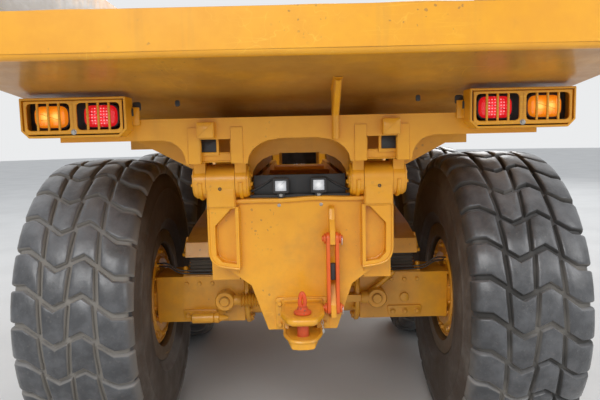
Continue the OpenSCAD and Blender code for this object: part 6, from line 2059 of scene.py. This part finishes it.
@dataclass
class Sides:
    """Both sides of the front unit: tanks, steps, handrails, mudguards, mirrors and exhaust."""

    tank: Pair = (0.700, 1.330)
    deck: float = 1.560
    rail_y: Pair = (3.36, 3.80)
    axle: Pair = (2.325, 0.805)
    guard_radius: float = 0.8975
    exhaust_at: Point = (0.740, 3.205, 0)

    def tanks(self) -> tuple[Shape, Shape, Shape]:
        """Straps, filler cap, deck plates and panel seams of one tank, as (painted, black, steel)."""
        x0, x1 = self.tank
        painted, black = [], []
        for y in (3.55, 4.10, 4.55):
            strap = [(x1 - 0.118, 0.7585), (x1 + 0.003, 0.868), (x1 + 0.003, 1.512), (x1 - 0.048, 1.563),
                     (x0 + 0.02, 1.563)]
            path = smooth_path([(a, y, b) for a, b in strap], 0.03)
            painted.append(tube(path, 0.006, 6))
        painted.append(slab((x1 - 0.004, 3.90, 0.96), (x1 + 0.010, 4.66, 1.44), 0.006, Axis.X, 0.04))
        painted.append(outline_tube(box_corners(Axis.X, x1 + 0.002, (3.34, 3.50), (0.92, 1.48)), 0.003))
        studs = repeat(lathe([(0.011, -0.001), (0.010, 0.0025), (0.006, 0.004)], Axis.Z, (0, 0, 0), 8),
                       np.array([(a, b, 1.5605) for a in np.arange(0.76, 1.27, 0.060)
                                 for b in np.arange(3.42, 4.72, 0.060)]))
        black.append(studs)
        black.append(lathe([(0.060, 1.560), (0.060, 1.590), (0.066, 1.594), (0.066, 1.622), (0.058, 1.630),
                            (0.02, 1.632)], Axis.Z, (0.80, 4.62, 0), 32))
        steel = join([fastener_row((x1 + 0.009, 3.95, 0.985), (x1 + 0.009, 4.61, 0.985), 6, 0.007, (1, 0, 0)),
                      fastener_row((x1 + 0.009, 3.95, 1.415), (x1 + 0.009, 4.61, 1.415), 6, 0.007, (1, 0, 0))])
        return join(painted), join(black), steel

    def steps(self) -> tuple[Shape, Shape]:
        """Toothed treads on the steps, and the feet of the handrails, as (black, steel)."""
        tooth = lathe([(0.009, -0.001), (0.0085, 0.006), (0.0045, 0.008)], Axis.Z, (0, 0, 0), 6)
        places = [(x, y, 0.510 + 0.340 * k) for k in range(4) for x in (1.345, 1.372, 1.399)
                  for y in np.arange(3.36, 3.83, 0.036)]
        foot = [(0.040, self.deck), (0.040, self.deck + 0.008), (0.026, self.deck + 0.014),
                (0.018, self.deck + 0.030)]
        feet = [lathe(foot, Axis.Z, (1.26, y, 0), 24) for y in self.rail_y]
        rail = [bent([(1.26, y, 1.98) for y in self.rail_y], 0.01, 0.012, 8)]
        sides = [slab((1.330, y, 0.482), (1.414, y + 0.024, 0.560), 0.006, Axis.Y, 0.02)
                 for y in (3.308, 3.828)]
        heads = [(1.4145, y, z) for y in (3.32, 3.84) for z in (0.62, 0.96, 1.30)]
        return join([repeat(tooth, np.array(places))] + feet + rail + sides), bolts(0.007, 0.007, heads,
                                                                                    (1, 0, 0))

    def guards(self) -> tuple[Shape, Shape]:
        """The rolled edges and the rubber flap of one mudguard, as (painted, rubber)."""
        a = np.radians(np.linspace(20.5, 117.5, 30))
        r, (y, z) = self.guard_radius, self.axle
        rims = [tube(np.stack([np.full_like(a, x), y - r * np.cos(a), z + r * np.sin(a)], -1), 0.0215, 8)
                for x in (0.775, 1.385)]
        y0, z0 = y - 0.898 * math.cos(math.radians(20)), z + 0.898 * math.sin(math.radians(20))
        flap = prism(rounded([(0.79, z0 - 0.30), (1.37, z0 - 0.30), (1.37, z0 + 0.05), (0.79, z0 + 0.05)],
                             0.02), Axis.Y, y0 - 0.014, y0 - 0.004, 0.003)
        heads = fastener_row((0.84, y0 - 0.014, z0 + 0.02), (1.32, y0 - 0.014, z0 + 0.02), 5, 0.008, (0, -1, 0))
        return join(rims), join([flap, heads])

    def mirror(self) -> tuple[Shape, Shape]:
        """One mirror's shell, which swells to the front as sqrt(1 - t squared), and its glass, as (black,
        glass).
        """
        outline = rect(1.180, 1.440, 2.350, 2.980, 0.050, 5)
        t = np.linspace(0, 1, 8)
        rings = np.stack([inset(outline, d)
                          for d in [0.003, 0.0, *(0.055 * (1 - np.sqrt(1 - t[1:] ** 2 * 0.97)))]])
        shell = loft(rings, Axis.Y, np.array([2.697, 2.702, *(2.702 + 0.082 * t[1:])]))
        arm = bent([(0.795, 2.74, 2.96), (1.20, 2.74, 2.96), (1.31, 2.745, 2.93), (1.31, 2.745, 2.45)], 0.05,
                   0.0155, 10)
        brace = tube([(0.80, 2.74, 2.42), (1.30, 2.745, 2.60)], 0.011, 8)
        glass = prism(inset(outline, 0.012), Axis.Y, 2.6955, 2.6995, 0.0015)
        return join([shell, arm, brace]), glass

    def exhaust(self) -> tuple[Shape, Shape]:
        """The silencer's bands, its pierced heat shield and the slanted rain flap, as (black, heat)."""
        at = self.exhaust_at
        bands = [lathe([(0.076, z - 0.018), (0.081, z - 0.015), (0.081, z + 0.015), (0.076, z + 0.018)], Axis.Z,
                       at, 36) for z in (1.66, 2.40)]
        t = np.linspace(0, 1, 60)
        shield = lathe(np.stack([0.0845 + 0.0012 * np.cos(t * 60), 1.74 + 0.58 * t], -1), Axis.Z, at, 40)
        seat = lathe([(0.110, 1.560), (0.110, 1.578), (0.085, 1.590)], Axis.Z, at, 36)
        cap = lathe([(0.030, 0.0), (0.050, 0.001), (0.050, 0.006), (0.030, 0.010)], Axis.Z, (0, 0, 0),
                    28).turned("X", 28.0).moved(at[0], at[1], 3.070)
        return join(bands + [seat, cap]), shield

    def build(self) -> None:
        """Makes the parts of both sides, and the exhaust on the right."""
        painted, black, steel = self.tanks()
        step_black, step_steel = self.steps()
        rims, flap = self.guards()
        shell, glass = self.mirror()
        pipes, shield = self.exhaust()
        piece("tank_panels", painted.both(), YELLOW, FRONT)
        piece("tank_deck_studs", black.both(), BLACK, FRONT)
        piece("side_bolts", join([steel.both(), step_steel.both()]), STEEL, FRONT)
        piece("step_treads", step_black.both(), BLACK, FRONT)
        piece("mudguard_rims", rims.both(), YELLOW, FRONT)
        piece("mudguard_flaps", flap.both(), PLAIN_RUBBER, FRONT)
        piece("mirror_shells", shell.both(), PLASTIC, FRONT, 40.0, ["mirrors"])
        piece("mirror_faces", glass.both(), MIRROR, FRONT)
        piece("exhaust_bands", pipes, BLACK, FRONT)
        piece("exhaust_shield", shield, EXHAUST, FRONT)


@dataclass
class Power:
    """What shows when the bonnet is up: rocker covers, ribs, pipes, belt wheels, fan and radiator core."""

    block: tuple[float, float, float] = (0.305, 3.185, 4.540)
    top: float = 1.930

    def fan(self) -> Shape:
        """Eight fan blades: each is a sheet whose pitch turns along its length, with a hub."""
        r, w = np.linspace(0.07, 0.29, 8)[:, None], np.linspace(-1, 1, 7)[None]
        half = 0.035 + 0.10 * (r - 0.07)
        pitch = np.radians(52 - 90 * (r - 0.07))
        x = w * half * np.cos(pitch)
        y = w * half * np.sin(pitch) * 0.8 + 0.006 * (1 - w**2)
        front = np.stack([x, y, r + 0 * w], -1)
        back = front + [0.0, 0.004, 0.0]
        blade = grid(np.concatenate([front, back[:, ::-1]], 1), ring=True)
        turns = np.stack([np.array(Matrix.Rotation(k * math.pi / 4, 3, "Y")) for k in range(8)])
        places = np.tile([0.0, 4.585, 1.50], (8, 1))
        hub = lathe([(0.085, -0.02), (0.092, -0.012), (0.092, 0.025), (0.060, 0.032)], Axis.Y, (0, 4.585, 1.50),
                    36)
        return join([repeat(blade, places, turns), hub])

    def build(self) -> None:
        """Makes the engine's parts."""
        half, y0, y1 = self.block
        iron, black = [], []
        for k in range(6):
            y = y0 + 0.12 + k * 0.205
            iron.append(slab((-0.150, y - 0.085, self.top - 0.004), (0.150, y + 0.085, self.top + 0.075), 0.020,
                             Axis.Z, 0.03))
            iron.append(bolts(0.010, 0.010, [(x, y, self.top + 0.075) for x in (-0.10, 0.10)], (0, 0, 1)))
            black.append(bent([(half - 0.01, y, 1.72), (half + 0.055, y, 1.74), (half + 0.070, y + 0.02, 1.66)],
                              0.05, 0.028, 12))
            iron.append(drum(0.022, Axis.X, (-half + 0.01, y, 1.60), -0.030, 0.005, 20))
        for k in range(9):
            y = y0 + 0.07 + k * 0.150
            for s in (-1, 1):
                iron.append(slab((s * (half + 0.005) - 0.009, y, 1.18),
                                 (s * (half + 0.005) + 0.009, y + 0.030, 1.52), 0.006))
        black.append(tube([(half + 0.070, y0 + 0.06, 1.64), (half + 0.070, y1 - 0.10, 1.64)], 0.046, 18))
        black.append(bent([(-0.18, y1 - 0.06, 1.90), (-0.18, y1 + 0.05, 1.955), (-0.26, 4.640, 1.90)], 0.08,
                          0.034, 14))
        black.append(bent([(0.20, y1 - 0.02, 1.22), (0.22, y1 + 0.06, 1.22), (0.28, 4.640, 1.28)], 0.08, 0.034,
                          14))
        for x, z, r in ((0.0, 1.32, 0.100), (-0.16, 1.62, 0.055), (0.17, 1.66, 0.050)):
            iron.append(lathe([(r * 0.75, 4.535), (r, 4.538), (r, 4.546), (r * 0.92, 4.552), (r, 4.558),
                               (r, 4.566), (r * 0.6, 4.568)], Axis.Y, (x, 0, z), 36))
        t = np.linspace(0, 1, 40)
        filt = lathe(np.stack([0.098 + 0.003 * np.cos(t * 70), 3.55 + 0.42 * t], -1), Axis.Y, (-0.42, 0, 1.78),
                     32)
        black += [filt, bent([(-0.42, 3.97, 1.78), (-0.42, 4.06, 1.78), (-0.30, 4.16, 1.70)], 0.07, 0.045, 14)]
        iron.append(tube([(-0.42, 3.62, 1.68), (-0.30, 3.62, 1.60)], 0.018, 8))
        piece("engine_parts", join(iron), IRON, FRONT)
        piece("engine_pipes", join(black), PLASTIC, FRONT)
        piece("engine_fan", self.fan(), BLACK, FRONT)
        fins = repeat(slab((-0.455, 4.7695, -0.0016), (0.455, 4.7755, 0.0016), 0.0007),
                      np.array([(0, 0, z) for z in np.arange(1.20, 1.90, 0.0145)]))
        tanks = [slab((-0.482, 4.640, z), (0.482, 4.778, z + 0.05), 0.012, Axis.X) for z in (1.130, 1.905)]
        cap = lathe([(0.030, 1.955), (0.036, 1.960), (0.036, 1.975), (0.028, 1.980)], Axis.Z, (0.30, 4.71, 0),
                    24)
        piece("radiator_core", join([fins, cap] + tanks), BLACK, FRONT)


@dataclass
class Joints:
    """The machine's middle and its cylinders: kingpin covers, glands, pipes and hoses."""

    king: Pair = (0.975, 1.0)

    def cylinder(self, foot: Point, eye: Point, radius: float, rod: float, barrel: float, name: str,
                 finish: Coating) -> None:
        """The gland, ring, ports, pipe and clamps of one cylinder, on its barrel.

        Args:
            foot: The middle of the barrel's eye.
            eye: The middle of the rod's eye.
            radius: The barrel's radius.
            rod: The rod's radius.
            barrel: The barrel's length from the foot.
            name: The body's last two words.
            finish: The barrel's finish.
        """
        f, e = np.array(foot), np.array(eye)
        way = (e - f) / np.linalg.norm(e - f)
        turn = facing(tuple(way))
        lay = lambda s: Shape(s.points @ turn.T + f, s.faces)
        gland = lathe([(rod + 0.002, barrel - 0.050), (radius + 0.006, barrel - 0.050),
                       (radius + 0.010, barrel - 0.044), (radius + 0.010, barrel - 0.008),
                       (radius + 0.002, barrel + 0.001), (rod + 0.006, barrel + 0.006),
                       (rod + 0.002, barrel + 0.004)], Axis.Z, (0, 0, 0), 40, closed=True)
        ring = lathe([(radius, 0.135), (radius + 0.007, 0.137), (radius + 0.007, 0.158), (radius, 0.160)],
                     Axis.Z, (0, 0, 0), 40, closed=True)
        ports = [drum(0.018, Axis.Y, (0, radius - 0.006, z), 0.034, 0.005, 20) for z in (0.19, barrel - 0.085)]
        line = bent([(0, radius + 0.020, barrel - 0.085), (0.0, radius + 0.036, barrel - 0.12),
                     (0.0, radius + 0.030, 0.26), (0.0, radius + 0.030, 0.215)], 0.03, 0.008, 8)
        clamps = [lathe([(radius, z - 0.010), (radius + 0.004, z - 0.010), (radius + 0.004, z + 0.010),
                         (radius, z + 0.010)], Axis.Z, (0, 0, 0), 36, closed=True)
                         for z in (barrel * 0.45, barrel * 0.7)]
        piece(name + "_barrel_parts", lay(join([gland, ring] + ports + clamps)), finish,
              self.body(name, "barrel"))
        piece(name + "_barrel_pipe", lay(line), STEEL, self.body(name, "barrel"))

    def body(self, name: str, part: str) -> str:
        """The CAD body of a cylinder's barrel or rod."""
        kind, side = name.split("_")
        return f"{kind}_{part}_{side}"

    def middle(self) -> tuple[Shape, Shape]:
        """Covers over the kingpin with their bolts, as (painted, steel)."""
        y, z = self.king
        cover = lathe([(0.02, z + 0.330), (0.092, z + 0.330), (0.092, z + 0.338), (0.088, z + 0.343),
                       (0.02, z + 0.345)], Axis.Z, (0, y, 0), 40)
        return cover, bolts(0.010, 0.010, circle_places(Axis.Z, (0, y, z + 0.3435), 0.066, 6), (0, 0, 1))

    def hoses(self) -> Shape:
        """Hoses and cables that lie along the front frame to the hinge, held by clips."""
        lines = [bent([(x, 1.30, 1.150), (x, 1.62, 1.144), (x, 2.05, 1.144), (x, 2.16, 1.142)], 0.08, 0.0085,
                      8) for x in 0.292 + 0.019 * np.arange(4)]
        clips = [slab((0.280, y, 1.124), (0.372, y + 0.025, 1.158), 0.004, Axis.Y) for y in (1.50, 1.80, 2.08)]
        return join(lines + clips).both()

    def build(self) -> None:
        """Makes the parts of the middle and of the four cylinders."""
        covers, heads = self.middle()
        piece("kingpin_cover", covers, YELLOW, FRONT)
        piece("kingpin_bolts", heads, STEEL, FRONT)
        piece("frame_hoses", self.hoses(), PLASTIC, FRONT)
        for s, side in ((-1, "left"), (1, "right")):
            self.cylinder((s * 0.520, 1.855, 0.820), (s * 0.300, 0.755, 0.820), 0.050, 0.028, 0.690,
                          "steer_" + side, BLACK)
            self.cylinder((s * 0.540, -1.150, 1.080), (s * 0.540, -3.025, 1.640), 0.075, 0.042, 1.530,
                          "tip_" + side, YELLOW)


@dataclass
class Studio:
    """The floor, the soft lights and the camera at the photograph's angle."""

    floor_colour: Colour = (0.72, 0.72, 0.71)
    floor_radius: float = 60.0
    sky: Colour = (0.86, 0.90, 0.96)
    sky_strength: float = 0.62
    backdrop: Colour = (0.90, 0.91, 0.92)
    camera_at: Point = (0.0, -6.875, 1.71)
    pitch: float = 6.2
    roll: float = 1.3
    focal: float = 34.5
    sensor: float = 36.0
    lamps: tuple[tuple[str, Point, Point, float, float],
                 ...] = (("key", (-2.5, -12.5, 7.5), (0, -4.0, 1.2), 7.0, 620.0),
                         ("fill", (6.5, -9.0, 4.5), (0, -3.5, 1.0), 5.0, 180.0),
                         ("front", (4.0, 12.0, 8.0), (0, 2.5, 1.0), 7.0, 520.0),
                         ("top", (0.0, 0.0, 11.0), (0, 0.0, 0.0), 9.0, 420.0))

    def floor(self) -> None:
        """A pale round floor under the wheels, its height wavering by a millimetre as sin(r)."""
        radius = np.concatenate([[0.02], np.geomspace(0.5, self.floor_radius, 24)])
        profile = np.stack([radius, 0.0004 * np.sin(radius) - 0.0006], -1)
        profile = np.concatenate([profile, [[self.floor_radius, -0.05], [0.02, -0.05]]])
        made = lathe(profile, Axis.Z, (0, 0, 0), 64, closed=True)
        material, w, shader = start_material("floor_pale")
        at = w.place()
        cloud = w.noise(at, 0.9, 5.0)
        tone = w.blend(w.span(cloud, 0.35, 0.7), self.floor_colour, tuple(c * 0.93 for c in self.floor_colour))
        w.put(shader.inputs["Base Color"], tone)
        w.put(shader.inputs["Roughness"], w.scaled(cloud, 0.2, 0.45))
        bump = w.node("Bump", {"Height": w.noise(at, 60.0, 3.0), "Distance": 0.001, "Strength": 0.15})
        w.put(shader.inputs["Normal"], bump.outputs[0])
        mesh = bpy.data.meshes.new("floor")
        mesh.from_pydata(made.points.tolist(), [], [f for faces in made.faces for f in faces.tolist()])
        mesh.materials.append(material)
        floor = bpy.data.objects.new("floor", mesh)
        bpy.context.scene.collection.objects.link(floor)

    def world(self) -> None:
        """A soft sky for the light, and a plain pale backdrop where the camera, gloss and glass see it."""
        world = bpy.data.worlds.new("studio")
        bpy.context.scene.world = world
        world.use_nodes = True
        w = Wiring(world.node_tree)
        background = next(n for n in world.node_tree.nodes if n.type == "BACKGROUND")
        rays = w.node("LightPath").outputs
        seen = w.calc("MAXIMUM", rays["Is Camera Ray"],
                      w.calc("MAXIMUM", rays["Is Glossy Ray"], rays["Is Transmission Ray"]))
        w.put(background.inputs["Color"], w.blend(seen, self.sky, self.backdrop))
        w.put(background.inputs["Strength"],
              w.node("Mix", {0: seen, 2: self.sky_strength, 3: 0.92}, data_type="FLOAT").outputs[0])

    def lamp(self, name: str, at: Point, to: Point, size: float, power: float) -> None:
        """One large soft lamp that looks at a point."""
        data = bpy.data.lights.new(name, "AREA")
        data.shape, data.size, data.energy = "DISK", size, power
        made = bpy.data.objects.new(name, data)
        turn = np.eye(4)
        turn[:3, :3] = facing(tuple(np.array(at) - np.array(to)))
        turn[:3, 3] = at
        made.matrix_world = Matrix(turn.tolist())
        bpy.context.scene.collection.objects.link(made)

    def camera(self) -> None:
        """The camera: it looks along Y, pitched down, and rolled to the right."""
        p, phi = math.radians(self.pitch), math.radians(self.roll)
        look = np.array([0, math.cos(p), -math.sin(p)])
        right0, up0 = np.array([1.0, 0, 0]), np.array([0, math.sin(p), math.cos(p)])
        right = right0 * math.cos(phi) - up0 * math.sin(phi)
        up = up0 * math.cos(phi) + right0 * math.sin(phi)
        data = bpy.data.cameras.new("camera")
        data.sensor_width, data.lens, data.clip_end = self.sensor, self.focal, 200.0
        made = bpy.data.objects.new("camera", data)
        turn = np.eye(4)
        turn[:3, :3] = np.stack([right, up, -look], -1)
        turn[:3, 3] = self.camera_at
        made.matrix_world = Matrix(turn.tolist())
        bpy.context.scene.collection.objects.link(made)
        bpy.context.scene.camera = made

    def build(self) -> None:
        """Makes the whole studio."""
        self.camera()
        self.world()
        self.floor()
        for name, at, to, size, power in self.lamps:
            self.lamp(name, at, to, size, power)
        bpy.context.scene.view_settings.view_transform = "Standard"


NODE_FINISH: dict[str, Finish] = {"bed_shell": BED_YELLOW, "exhaust": EXHAUST, "engine": IRON,
                                  "radiator": BLACK,
                                  **{f"rim_{row}_{side}": WHEEL_YELLOW for row in ("front", "mid", "rear")
                                     for side in ("left", "right")}}


def dress_nodes() -> None:
    """Gives every CAD node the finish of its slot, or its own where it has one."""
    for name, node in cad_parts.items():
        for k, place in enumerate(node.material_slots):
            slot = place.material.name.split(".")[0]
            finish = NODE_FINISH.get(name) or SLOT_FINISH.get(slot, YELLOW)
            node.material_slots[k].material = finish.material()
        log.info("dressed %s", name)


def main() -> None:
    """Builds the studio, dresses the frame's nodes, and makes each sub-assembly in order."""
    logging.basicConfig(level=logging.INFO, format="%(name)s: %(message)s")
    Studio().build()
    dress_nodes()
    assemblies = [Wheel(f"{row}_{side}") for row in ("front", "mid", "rear") for side in ("left", "right")]
    assemblies += [Bogie(), TailPlate(), TowHitch(), PropStrut(), Bolster(), TailLamps(), BedDress()]
    assemblies += [Cab(), Door(), Seat(), Bonnet(), Nose(), Sides(), Power(), Joints()]
    for assembly in assemblies:
        assembly.build()
        log.info("built %s", type(assembly).__name__)


if __name__ == "__main__":
    main()
